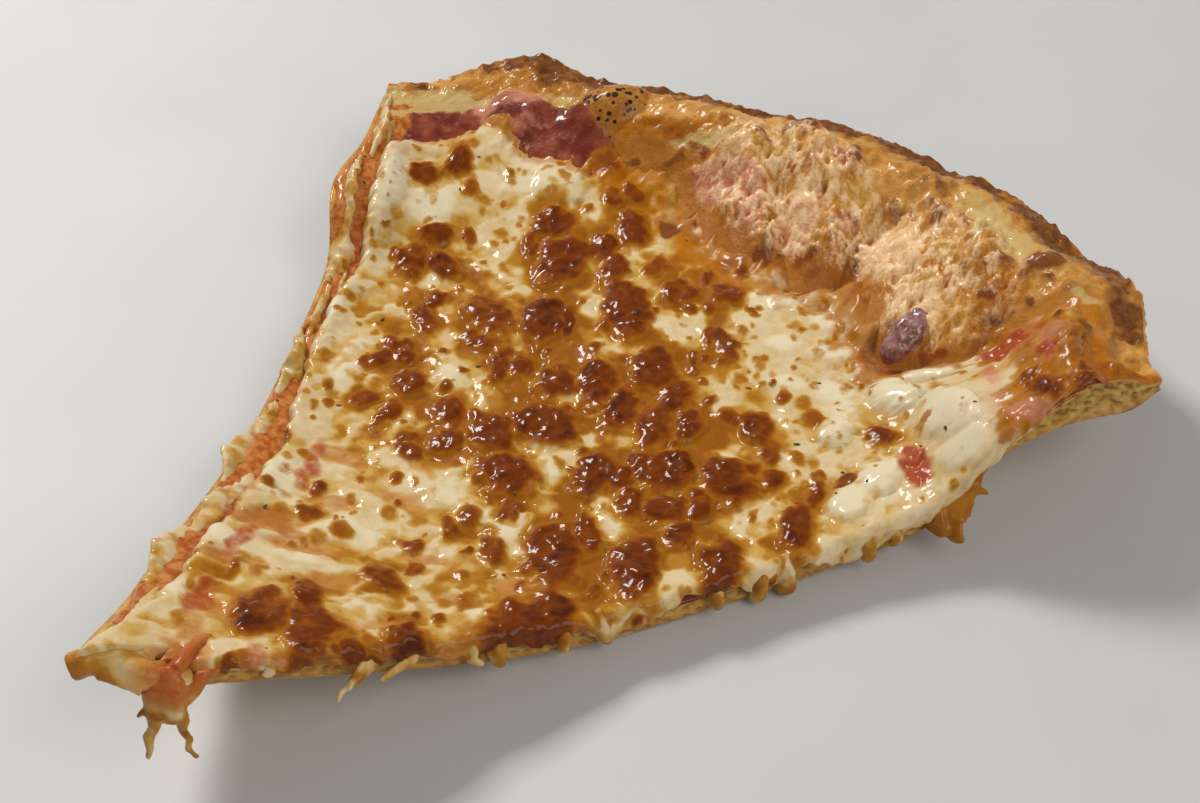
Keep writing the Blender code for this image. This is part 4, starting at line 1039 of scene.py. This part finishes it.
def dough_material():
    g = Graph("baked_dough")
    brown, char, lace, foam, oil, crumb, base, pore, tanned, warts = (g.attr(k) for k in ("brown", "char", "lace", "foam", "oil", "crumb", "base", "pore", "tanned", "warts"))
    n_big, n_mid, n_fine = g.noise(8.0, 4), g.noise(2.4, 5, 0.62), g.noise(0.7, 4, 0.6)
    colour = g.mix(g.span(n_big, 0.35, 0.7), (0.64, 0.32, 0.070), (0.47, 0.175, 0.018))
    colour = g.mix(g.span(n_mid, 0.42, 0.68, 0, 0.6), colour, (0.76, 0.45, 0.14))
    colour = g.mix(g.span(g.math("ADD", warts, g.math("MULTIPLY", g.math("SUBTRACT", n_mid, 0.5), 0.8)), 0.45, 1.0, 0, 0.6), colour, (0.42, 0.150, 0.028))
    colour = g.mix(g.span(g.math("ADD", oil, g.math("MULTIPLY", g.math("SUBTRACT", n_mid, 0.5), 0.8)), 0.3, 0.9, 0, 0.8), colour, (0.46, 0.17, 0.018))
    toast = g.math("ADD", brown, g.math("MULTIPLY", g.math("SUBTRACT", n_mid, 0.5), 0.8))
    colour = g.mix(g.span(toast, 0.34, 0.78, 0, 0.80), colour, (0.33, 0.115, 0.014))
    colour = shared_colours(g, colour, n_mid, n_mid)
    foam_painted_light = g.math("ADD", g.math("MULTIPLY", foam, 0.6), g.math("MULTIPLY", n_fine, 0.6))
    redder = g.math("ADD", g.attr("furrows"), g.math("MULTIPLY", g.math("SUBTRACT", n_fine, 0.5), 1.1))
    colour = g.mix(g.span(redder, 0.20, 0.85, 0, 0.62), colour, (0.48, 0.145, 0.050))
    # painted highlight: the raised tops of the foam are painted pale, partly the lace's own colour and partly painted
    # highlight standing for glints
    colour = g.mix(g.math("MULTIPLY", g.span(foam_painted_light, 0.46, 0.84, 0, 0.90), lace), colour, (0.98, 0.70, 0.40))
    # painted shade: the hollows between the foam's tops are painted darker
    colour = g.mix(g.math("MULTIPLY", g.span(foam_painted_light, 0.50, 0.26, 0, 0.70), lace), colour, (0.42, 0.125, 0.028))
    colour = g.mix(g.span(toast, 0.66, 1.05, 0, 0.9), colour, (0.150, 0.045, 0.009))
    colour = g.mix(g.span(g.math("MULTIPLY", tanned, 1.0), 0.15, 0.6, 0, 0.8), colour, g.mix(g.span(n_mid, 0.4, 0.65), (0.38, 0.125, 0.012), (0.52, 0.24, 0.045)))
    flour = g.mix(g.span(n_big, 0.4, 0.7), (0.55, 0.33, 0.13), (0.68, 0.48, 0.25))
    lower = g.mix(g.span(toast, 0.35, 0.8, 0, 0.9), flour, (0.30, 0.13, 0.035))
    lower = g.mix(g.span(g.math("ADD", char, g.math("MULTIPLY", g.math("SUBTRACT", n_mid, 0.5), 0.6)), 0.45, 0.95, 0, 0.9), lower, (0.055, 0.026, 0.012))
    colour = g.mix(base, colour, lower)
    inside = g.mix(g.span(n_mid, 0.35, 0.7), (0.56, 0.36, 0.10), (0.43, 0.22, 0.035))
    # painted shade: the crumb is painted dark inside its pores, where the holes lie in shade
    inside = g.mix(g.span(pore, 0.1, 0.8, 0, 0.75), inside, (0.22, 0.095, 0.012))
    colour = g.mix(crumb, colour, inside)
    d = g.cells(1.9)
    flecks = g.math("SUBTRACT", g.math("MULTIPLY", char, g.math("ADD", 0.30, g.math("MULTIPLY", n_big, 0.40))), d)
    colour = g.mix(g.span(flecks, -0.03, 0.06, 0, 0.95), colour, (0.014, 0.011, 0.010))
    rough = g.span(g.math("ADD", lace, oil), 0.0, 1.0, 0.55, 0.38)
    g.bumped([(n_mid, 0.45, 0.7), (g.cells(1.3), 0.22, 0.5), (n_fine, 0.26, 0.8), (g.noise(0.3, 3), 0.06, 0.5)])
    return g.surface(colour, rough, Subsurface_Weight=0.10, Subsurface_Radius=(1.0, 0.5, 0.25), Subsurface_Scale=0.0013,
                     Specular_IOR_Level=0.08, Coat_Weight=0.34, Coat_Roughness=0.09, Coat_IOR=1.4, IOR=1.45)


def sauce_material():
    g = Graph("tomato_sauce")
    edge, ledge, clot = g.attr("edge"), g.attr("ledge"), g.attr("clot")
    n_big, n_mid, n_fine = g.noise(6.0, 4), g.noise(1.8, 5, 0.6), g.noise(0.6, 4)
    colour = g.mix(g.span(n_big, 0.38, 0.66), (0.17, 0.026, 0.014), (0.30, 0.070, 0.032))
    # painted highlight: pale pink patches on the raised spots of the bump stand for gloss on the sauce
    colour = g.mix(g.span(n_mid, 0.52, 0.76, 0, 0.6), colour, (0.50, 0.18, 0.13))
    oily = g.mix(g.span(n_mid, 0.35, 0.65), (0.44, 0.095, 0.008), (0.66, 0.27, 0.06))
    oily = g.mix(g.span(n_big, 0.55, 0.75, 0, 0.7), oily, (0.36, 0.055, 0.012))
    colour = g.mix(g.span(g.math("ADD", ledge, g.math("MULTIPLY", g.math("SUBTRACT", n_big, 0.5), 0.9)), 0.35, 0.9, 0, 0.85), colour, oily)
    colour = g.mix(g.span(g.math("ADD", clot, g.math("MULTIPLY", g.math("SUBTRACT", n_mid, 0.5), 0.6)), 0.3, 0.8, 0, 0.5), colour, (0.40, 0.06, 0.025))
    colour = g.mix(g.span(edge, 0.3, 1.0, 0, 0.6), colour, (0.40, 0.14, 0.03))
    colour = shared_colours(g, colour, n_mid, n_mid)
    g.bumped([(n_mid, 0.45, 0.7), (n_fine, 0.20, 0.6)])
    return g.surface(colour, g.span(n_mid, 0.3, 0.7, 0.28, 0.42), Subsurface_Weight=0.06, Subsurface_Radius=(1.0, 0.3, 0.15), Subsurface_Scale=0.0012,
                     Specular_IOR_Level=0.1, Coat_Weight=0.5, Coat_Roughness=0.08, Coat_IOR=1.4, IOR=1.42)


def floor_material():
    g = Graph("pale_table")
    n = g.noise(120.0, 3)
    colour = g.mix(g.span(n, 0.3, 0.7), (0.56, 0.555, 0.545), (0.60, 0.595, 0.58))
    return g.surface(colour, 0.55)


cheese_mat, dough_mat, sauce_mat = cheese_material(), dough_material(), sauce_material()
build_dough(dough_mat)
sauce_sheet = build_sauce(sauce_mat)
cheese_sheet = build_cheese(cheese_mat)


def at(x, y, up=0.0):
    return float(np.asarray(dough_top(np.float64(x), np.float64(y)))) + 1.6 + up


def right_cut(r, e=0.0):
    """x, y at distance r from the meeting point along the right-hand cut, e mm outside it."""
    return r * np.sin(RIGHT) + e * np.cos(RIGHT), r * np.cos(RIGHT) - e * np.sin(RIGHT)


def left_cut(r, e=0.0):
    """x, y at distance r along the left-hand cut, e mm inside it."""
    return r * np.sin(LEFT) + e * np.cos(LEFT), r * np.cos(LEFT) - e * np.sin(LEFT)


def resting(obj):
    """Gives the height of the object's upper face at a place, in slice millimetres."""
    co = np.empty(len(obj.data.vertices) * 3, np.float32)
    obj.data.vertices.foreach_get("co", co)
    co = co.reshape(-1, 3) / MM + np.array([ORIGIN[0], ORIGIN[1], 0])

    def height(x, y):
        near = np.hypot(co[:, 0] - x, co[:, 1] - y) < 1.2
        return float(np.median(co[near, 2])) if near.any() else at(x, y, -1.5)

    return height


on_cheese, on_sauce = resting(cheese_sheet), resting(sauce_sheet)

# ------------------------------------------------------------------ a scorched bubble and specks of herb
def scorched_material():
    g = Graph("scorched_bubble")
    n_mid, n_fine = g.noise(2.4, 4, 0.6), g.noise(0.8, 4, 0.6)
    colour = g.mix(g.span(n_mid, 0.38, 0.62), (0.19, 0.065, 0.062), (0.42, 0.22, 0.21))
    colour = g.mix(g.span(n_fine, 0.52, 0.72, 0, 0.5), colour, (0.34, 0.17, 0.14))
    g.bumped([(n_mid, 0.3, 0.5), (n_fine, 0.12, 0.5)])
    return g.surface(colour, g.span(n_mid, 0.3, 0.7, 0.24, 0.36), Specular_IOR_Level=0.3, Coat_Weight=0.9, Coat_Roughness=0.12, Coat_IOR=1.5, IOR=1.45)


def herb_material(name, dark, light):
    g = Graph(name)
    colour = g.mix(g.span(g.noise(0.8, 3), 0.35, 0.65), dark, light)
    return g.surface(colour, 0.5, Specular_IOR_Level=0.15)


def fleck_piece(name, rows, material):
    """Small flattened beads: x, y, z, half length, half width, half height, turn."""
    verts, faces = [], []
    around, rings = 8, 4
    for x, y, z, a, b, c, turn in rows:
        base = len(verts)
        ct, st = np.cos(turn), np.sin(turn)
        verts.append((x, y, z + c))
        for i in range(1, rings):
            lat = np.pi * i / rings
            for j in range(around):
                lon = 2 * np.pi * j / around
                u, v = a * np.sin(lat) * np.cos(lon) * (1 + 0.2 * np.sin(3 * lon + turn)), b * np.sin(lat) * np.sin(lon)
                verts.append((x + u * ct - v * st, y + u * st + v * ct, z + c * np.cos(lat)))
        verts.append((x, y, z - c))
        foot = len(verts) - 1
        for j in range(around):
            k = (j + 1) % around
            faces.append((base, base + 1 + j, base + 1 + k))
            for i in range(rings - 2):
                p, q = base + 1 + i * around, base + 1 + (i + 1) * around
                faces.append((p + j, q + j, q + k, p + k))
            q = base + 1 + (rings - 2) * around
            faces.append((q + j, foot, q + k))
    mesh = bpy.data.meshes.new(name)
    mesh.from_pydata([tuple((np.array(v) - np.array([ORIGIN[0], ORIGIN[1], 0])) * MM) for v in verts], [], faces)
    mesh.shade_smooth()
    return place(name, mesh, material)


def lying(rows, height):
    """A chain of beads lying on a surface: (x, y, radius, up, flatten)."""
    return [(x, y, height(x, y) + up, r, flat) for x, y, r, up, flat in rows]


blob_piece("scorched_bubble", [lying(rows, lambda x, y: at(x, y, 0.6)) for rows in (
    [(47.0, 175.6, 1.6, -1.0, 0.8), (48.2, 177.8, 3.2, -1.3, 0.8), (49.2, 181.0, 3.9, -1.5, 0.8), (49.8, 184.2, 2.6, -1.2, 0.8), (49.4, 186.4, 1.3, -1.0, 0.8)],
    [(46.2, 180.2, 1.2, -0.4, 0.8), (48.6, 181.6, 2.4, -0.1, 0.8)],
)], scorched_material(), 0.35, crags=0.55)
rng = np.random.default_rng(11)
herbs = {"green": [], "red": [], "black": []}
for x, y, kind in ((66.5, 139.5, "black"), (60.0, 141.0, "green"), (63.0, 134.0, "red"), (70.5, 152.5, "red"), (74.0, 155.0, "green"), (57.5, 128.5, "red"), (-20, 120, "green"), (-62, 160, "green"),
                   (-52, 150, "red"), (-47, 118, "green"), (-34, 92, "red"), (-18, 58, "green"), (2, 47, "red"), (12, 96, "green"), (30, 150, "red"), (41, 160, "green"), (-12, 183, "red"), (-66, 171, "green"),
                   (25, 78, "red"), (48, 142, "green"), (77, 160, "green")):
    a = 0.30 + 0.22 * rng.random()
    herbs[kind].append((x, y, on_cheese(x, y) + 0.05, a * 1.5, a * 0.8, 0.22, rng.random() * 3.14))
for r in (186, 170, 161, 149, 133, 121, 108, 93, 77, 61):
    x, y = left_cut(r + rng.random() * 4, 2.0 + 3.0 * rng.random())
    herbs["green" if rng.random() < 0.5 else "red"].append((x, y, on_sauce(x, y) - 0.1, 0.5, 0.3, 0.3, rng.random() * 3.14))
fleck_piece("herbs_green", herbs["green"], herb_material("dried_herb", (0.035, 0.05, 0.012), (0.09, 0.12, 0.03)))
fleck_piece("herbs_red", herbs["red"], herb_material("chilli_flake", (0.30, 0.03, 0.012), (0.45, 0.08, 0.02)))
fleck_piece("herbs_black", herbs["black"], herb_material("burnt_fleck", (0.008, 0.007, 0.006), (0.02, 0.016, 0.012)))

# ------------------------------------------------------------------ the piece hanging off the point
tz = at(8, 16)
tip_chains = [
    [(6.6, 25.0, tz - 1.4, 0.8, 0.7), (7.4, 20.5, tz - 0.1, 2.0, 0.6), (9.2, 14.5, tz + 0.3, 3.2, 0.6), (9.8, 12.0, tz - 2.2, 3.5, 0.45), (10.0, 11.4, tz - 5.5, 3.2, 0.4), (9.8, 11.2, tz - 8.2, 2.3, 0.45)],
    [(3.6, 17.0, tz - 1.4, 0.8, 0.6), (4.9, 13.4, tz - 0.1, 1.8, 0.6), (8.0, 11.0, tz - 1.5, 2.6, 0.5), (8.6, 10.0, tz - 6.0, 2.1, 0.5), (8.2, 9.2, tz - 9.5, 1.2, 0.6), (7.0, 8.2, tz - 12.5, 1.1, 0.7), (7.2, 7.8, tz - 14.8, 0.7, 0.7), (6.6, 7.2, tz - 17.5, 0.5, 0.8)],
    [(10.2, 12.0, tz - 4.0, 2.0, 0.5), (11.4, 13.0, tz - 8.6, 1.4, 0.6), (11.0, 12.6, tz - 11.5, 0.8, 0.8), (11.6, 13.1, tz - 14.0, 0.9, 0.8), (11.0, 12.6, tz - 16.8, 0.6, 0.9), (11.8, 13.4, tz - 19.5, 0.5, 0.9)],
    [(7.6, 9.8, tz - 6.0, 0.9, 0.8), (6.6, 8.8, tz - 6.2, 0.6, 0.9), (5.9, 8.0, tz - 7.4, 0.4, 0.9)],
    [(13.4, 21.5, tz - 1.8, 0.6, 0.7), (12.8, 18.0, tz - 1.0, 1.5, 0.7), (12.6, 15.5, tz - 2.4, 1.7, 0.6), (11.4, 13.2, tz - 5.0, 1.4, 0.6), (11.8, 13.4, tz - 8.0, 0.9, 0.7)],
]
blob_piece("cheese_hanging", tip_chains, cheese_mat, 0.30,
           dict(amber=lambda p: np.clip(0.55 + 0.5 * noise(p[:, 0] / 2, p[:, 1] / 2, p[:, 2] / 2, 181), 0, 1), thin=lambda p: 0.45 * smooth(22, 30, p[:, 2]) + 0.15,
                red=lambda p: 0.62 * smooth(24, 30, p[:, 2]) * smooth(3, 8, p[:, 0]),
                pulled=lambda p: 0.9 * smooth(22, 29, p[:, 2]) * smooth(2, 7, p[:, 0])))

# the torn point: soft lumps of crumb and cheese at its left end
blob_piece("cheese_point", [
    [(-2.6, 3.6, at(-1, 6) - 2.6, 2.2, 0.9), (-1.4, 5.4, at(-1, 6) - 2.2, 3.0, 0.85), (0.2, 7.6, at(0, 8) - 1.6, 2.9, 0.75), (1.4, 9.5, at(1.4, 9.5) - 1.0, 2.5, 0.6), (2.6, 14.0, at(2.6, 14) - 0.8, 2.6, 0.55), (1.8, 20.0, at(1.8, 20) - 0.6, 2.8, 0.5), (-1.0, 27.0, at(-1, 27) - 0.6, 3.0, 0.45), (-4.0, 35.0, at(-4, 35) - 0.8, 2.6, 0.4)],
    [(0.4, 8.2, at(0.4, 8.2) - 2.0, 2.4, 0.9), (3.4, 10.2, at(3.4, 10.2) - 1.9, 2.7, 0.9), (6.4, 12.2, at(6.4, 12.2) - 1.7, 2.7, 0.9), (9.4, 14.4, at(9.4, 14.4) - 1.6, 2.3, 0.9), (11.4, 17.0, at(11.4, 17) - 1.4, 1.8, 0.9)],
    [(1.0, 6.4, at(1, 7) - 3.0, 1.8, 0.8), (4.2, 8.6, at(4, 9) - 3.0, 1.8, 0.8), (7.0, 10.2, at(7, 11) - 2.6, 1.8, 0.8)],
    [(-2.6, 8.0, at(-2.6, 8) - 1.3, 1.3, 0.8), (-4.2, 12.0, at(-4.2, 12) - 1.2, 1.7, 0.7), (-6.4, 17.0, at(-6.4, 17) - 1.1, 1.5, 0.7), (-8.6, 23.0, at(-8.6, 23) - 1.1, 1.8, 0.6), (-11.6, 30.0, at(-11.6, 30) - 1.0, 1.4, 0.6)],
    [(5.6, 11.4, at(5.6, 12) - 1.0, 1.8, 0.7), (7.0, 16.0, at(7, 16) - 0.6, 2.2, 0.55), (9.0, 21.0, at(9, 21) - 0.4, 2.4, 0.5), (12.0, 26.0, at(12, 26) - 0.4, 2.0, 0.5)],
], cheese_mat, 0.35, dict(amber=lambda p: np.clip(0.22 + 0.6 * smooth(9, 4, p[:, 1]) + 0.35 * fbm(p[:, 0] / 3, p[:, 1] / 3, 0, 2, 185), 0, 1),
                                    white=lambda p: 0.5 * smooth(8, 14, p[:, 1]), thin=lambda p: 0.2 + 0.4 * smooth(8, 4, p[:, 1]),
                                    pulled=lambda p: 1.0 * bump(p[:, 0], 8, 4) * bump(p[:, 1], 15, 7)))

# ------------------------------------------------------------------ smears of cheese along the ledge beside the left-hand cut
smears = []
rng = np.random.default_rng(7)
for r0, r1, e0, rad in ((172, 192, 3.2, 1.7), (150, 171, 3.4, 1.9), (136, 152, 1.8, 1.7), (118, 135, 2.6, 1.5), (98, 118, 2.2, 1.9), (84, 97, 3.2, 1.5), (66, 84, 2.0, 1.8), (48, 66, 3.0, 1.8), (30, 49, 2.0, 1.9),
                        (60, 72, 5.0, 1.2), (126, 142, 5.0, 1.1), (160, 170, 1.2, 1.2), (104, 112, 4.8, 1.1), (178, 188, 5.2, 1.3), (142, 150, 4.6, 0.9), (76, 90, 0.9, 1.0), (112, 122, 0.9, 1.1), (186, 196, 1.6, 1.1)):
    steps, chain, wander = 9, [], 0.0
    for k in range(steps + 1):
        f = k / steps
        wander += 0.30 * rng.standard_normal()
        px, py = left_cut(r0 + (r1 - r0) * f, np.clip(e0 + wander, 0.6, 5.6))
        chain.append((px, py, at(px, py) - 0.70, rad * 1.42 * (0.35 + 0.85 * np.sin(np.pi * min(max(f, 0.06), 0.94)) + 0.08 * rng.standard_normal()), 0.42))
    smears.append([(a, b, c, max(d, 0.45), e) for a, b, c, d, e in chain])
blob_piece("cheese_smears", smears, cheese_mat, 0.35, dict(amber=lambda p: np.clip(0.20 + 0.55 * fbm(p[:, 0] / 3, p[:, 1] / 3, 0, 2, 182), 0, 1), thin=lambda p: np.clip(0.25 + 0.6 * fbm(p[:, 0] / 2, p[:, 1] / 2, 1, 2, 186), 0, 1), side=0.0))

# ------------------------------------------------------------------ flaps, strands and scraps along the right-hand cut
def cut_chain(points):
    out = []
    for r, e, drop, rad, flat in points:
        px, py = right_cut(r, e)
        qx, qy = right_cut(r, -0.5)
        out.append((px, py, max(at(qx, qy) + 1.8 - drop, 0.4 + rad * 0.5), rad, flat))
    return out


scraps = [
    cut_chain([(54, -2.0, 1.0, 1.6, 0.6), (51, 1.0, 2.6, 2.0, 0.5), (48, 3.2, 4.0, 1.7, 0.5), (46, 4.6, 5.0, 1.2, 0.6), (43.5, 6.0, 5.8, 0.8, 0.6), (42.5, 7.2, 6.8, 0.45, 0.7)]),
    cut_chain([(48, 3.0, 4.0, 1.2, 0.5), (46, 5.0, 4.2, 0.9, 0.6), (45, 6.6, 4.6, 0.45, 0.7)]),
    cut_chain([(60, -1.5, 1.4, 1.3, 0.6), (57, 1.6, 3.4, 1.5, 0.5), (53, 3.0, 5.0, 1.1, 0.5), (51, 3.6, 6.0, 0.6, 0.6)]),
]
for r, long, lean, rad in ((33, 4.2, -0.8, 1.0), (68, 6.2, 1.2, 1.3), (74, 7.0, -1.0, 1.7), (86, 7.2, -0.6, 1.2), (93, 6.6, 1.4, 1.6),
                           (116, 6.4, 0.7, 1.2), (126, 7.8, -0.9, 1.7), (131, 8.4, 0.5, 1.9), (148, 7.4, 0.7, 1.6), (155, 6.0, -0.6, 1.2)):
    a, b, c = rng.standard_normal(3) * 0.35
    scraps.append(cut_chain([(r, -1.6, 1.0, rad * 1.5, 0.5), (r + 0.2 * lean + a, 1.2, 2.4, rad * 1.6, 0.5), (r + 0.5 * lean + b, 2.0, 2.6 + (long - 2.6) * 0.45, rad * 1.2, 0.5),
                             (r + 0.8 * lean + a - b, 1.7 + 0.5 * c, 2.6 + (long - 2.6) * 0.8, rad * 0.9, 0.6), (r + lean + c, 1.2, long, rad * 0.5, 0.8)]))
blob_piece("cheese_scraps", scraps, cheese_mat, 0.35, dict(amber=lambda p: np.clip(0.40 + 0.9 * fbm(p[:, 0] / 3, p[:, 1] / 3, p[:, 2] / 3, 2, 183), 0, 1), thin=0.35))
flap = [
    cut_chain([(174, -3.0, 2.5, 2.6, 0.5), (170, 0.4, 4.2, 3.0, 0.4), (166, 3.4, 6.4, 2.6, 0.35), (165.5, 6.0, 7.6, 1.9, 0.4), (166.5, 7.4, 8.0, 1.1, 0.5)]),
    cut_chain([(163, -2.0, 2.5, 2.6, 0.5), (163, 1.8, 4.8, 2.6, 0.4), (164, 4.5, 7.0, 1.8, 0.4)]),
    cut_chain([(170, 1.0, 5.0, 1.4, 0.5), (172, 3.0, 6.6, 1.0, 0.5), (173, 4.2, 7.6, 0.5, 0.6)]),
]
blob_piece("cheese_flap", flap, cheese_mat, 0.4, dict(amber=lambda p: np.clip(0.75 + 0.5 * fbm(p[:, 0] / 4, p[:, 1] / 4, p[:, 2] / 4, 2, 184), 0, 1), thin=0.45))

# ------------------------------------------------------------------ stage, light and camera
size = 3.0
floor_mesh = bpy.data.meshes.new("table_top")
floor_mesh.from_pydata([(-size, -size, 0), (size, -size, 0), (size, size, 0), (-size, size, 0)], [], [(0, 1, 2, 3)])
floor_mesh.materials.append(floor_material())
floor = bpy.data.objects.new("table_top", floor_mesh)
bpy.context.scene.collection.objects.link(floor)

world = bpy.data.worlds.new("studio")
bpy.context.scene.world = world
world.use_nodes = True
world.node_tree.nodes["Background"].inputs["Color"].default_value = (0.93, 0.96, 1.0, 1)
world.node_tree.nodes["Background"].inputs["Strength"].default_value = 0.20
bpy.context.scene.view_settings.view_transform = "Standard"

AZ, EL, ROLL, DIST = 41.4188, 42.5819, -2.5469, 0.3798
TARGET = np.array([7.2 - ORIGIN[0], 128.3 - ORIGIN[1], 8.0]) * MM
az, el, roll = radians(AZ), radians(EL), radians(ROLL)
back = np.array([np.sin(az) * np.cos(el), -np.cos(az) * np.cos(el), np.sin(el)])
right = np.cross(-back, [0, 0, 1.0])
right /= np.linalg.norm(right)
upward = np.cross(right, -back)
rx = right * np.cos(roll) + upward * np.sin(roll)
ry = -right * np.sin(roll) + upward * np.cos(roll)
cam = bpy.data.objects.new("camera", bpy.data.cameras.new("camera"))
bpy.context.scene.collection.objects.link(cam)
place_at = TARGET + DIST * back
cam.matrix_world = Matrix(((rx[0], ry[0], back[0], place_at[0]), (rx[1], ry[1], back[1], place_at[1]), (rx[2], ry[2], back[2], place_at[2]), (0, 0, 0, 1)))
cam.data.sensor_width = 36.0
cam.data.lens = 54.0
cam.data.clip_start = 0.01
bpy.context.scene.camera = cam


def area_light(name, left, away, up, size_x, size_y, watts, colour):
    """Placed relative to the camera's view: left and away from the camera along the table, and up."""
    ground_right = np.array([right[0], right[1], 0])
    ground_away = np.array([-back[0], -back[1], 0])
    ground_away /= np.linalg.norm(ground_away)
    where = TARGET - ground_right * left + ground_away * away + np.array([0, 0, up])
    lamp = bpy.data.lights.new(name, "AREA")
    lamp.shape = "RECTANGLE"
    lamp.size, lamp.size_y, lamp.energy, lamp.color = size_x, size_y, watts, colour
    obj = bpy.data.objects.new(name, lamp)
    bpy.context.scene.collection.objects.link(obj)
    obj.location = where
    obj.rotation_euler = Vector(TARGET - where).to_track_quat("-Z", "Y").to_euler()
    return obj


area_light("window", 0.60, 0.90, 1.00, 0.42, 0.32, 17.6, (1.0, 0.985, 0.96))
area_light("bounce", -0.7, -0.7, 0.9, 0.9, 0.9, 8.6, (1.0, 0.96, 0.90))
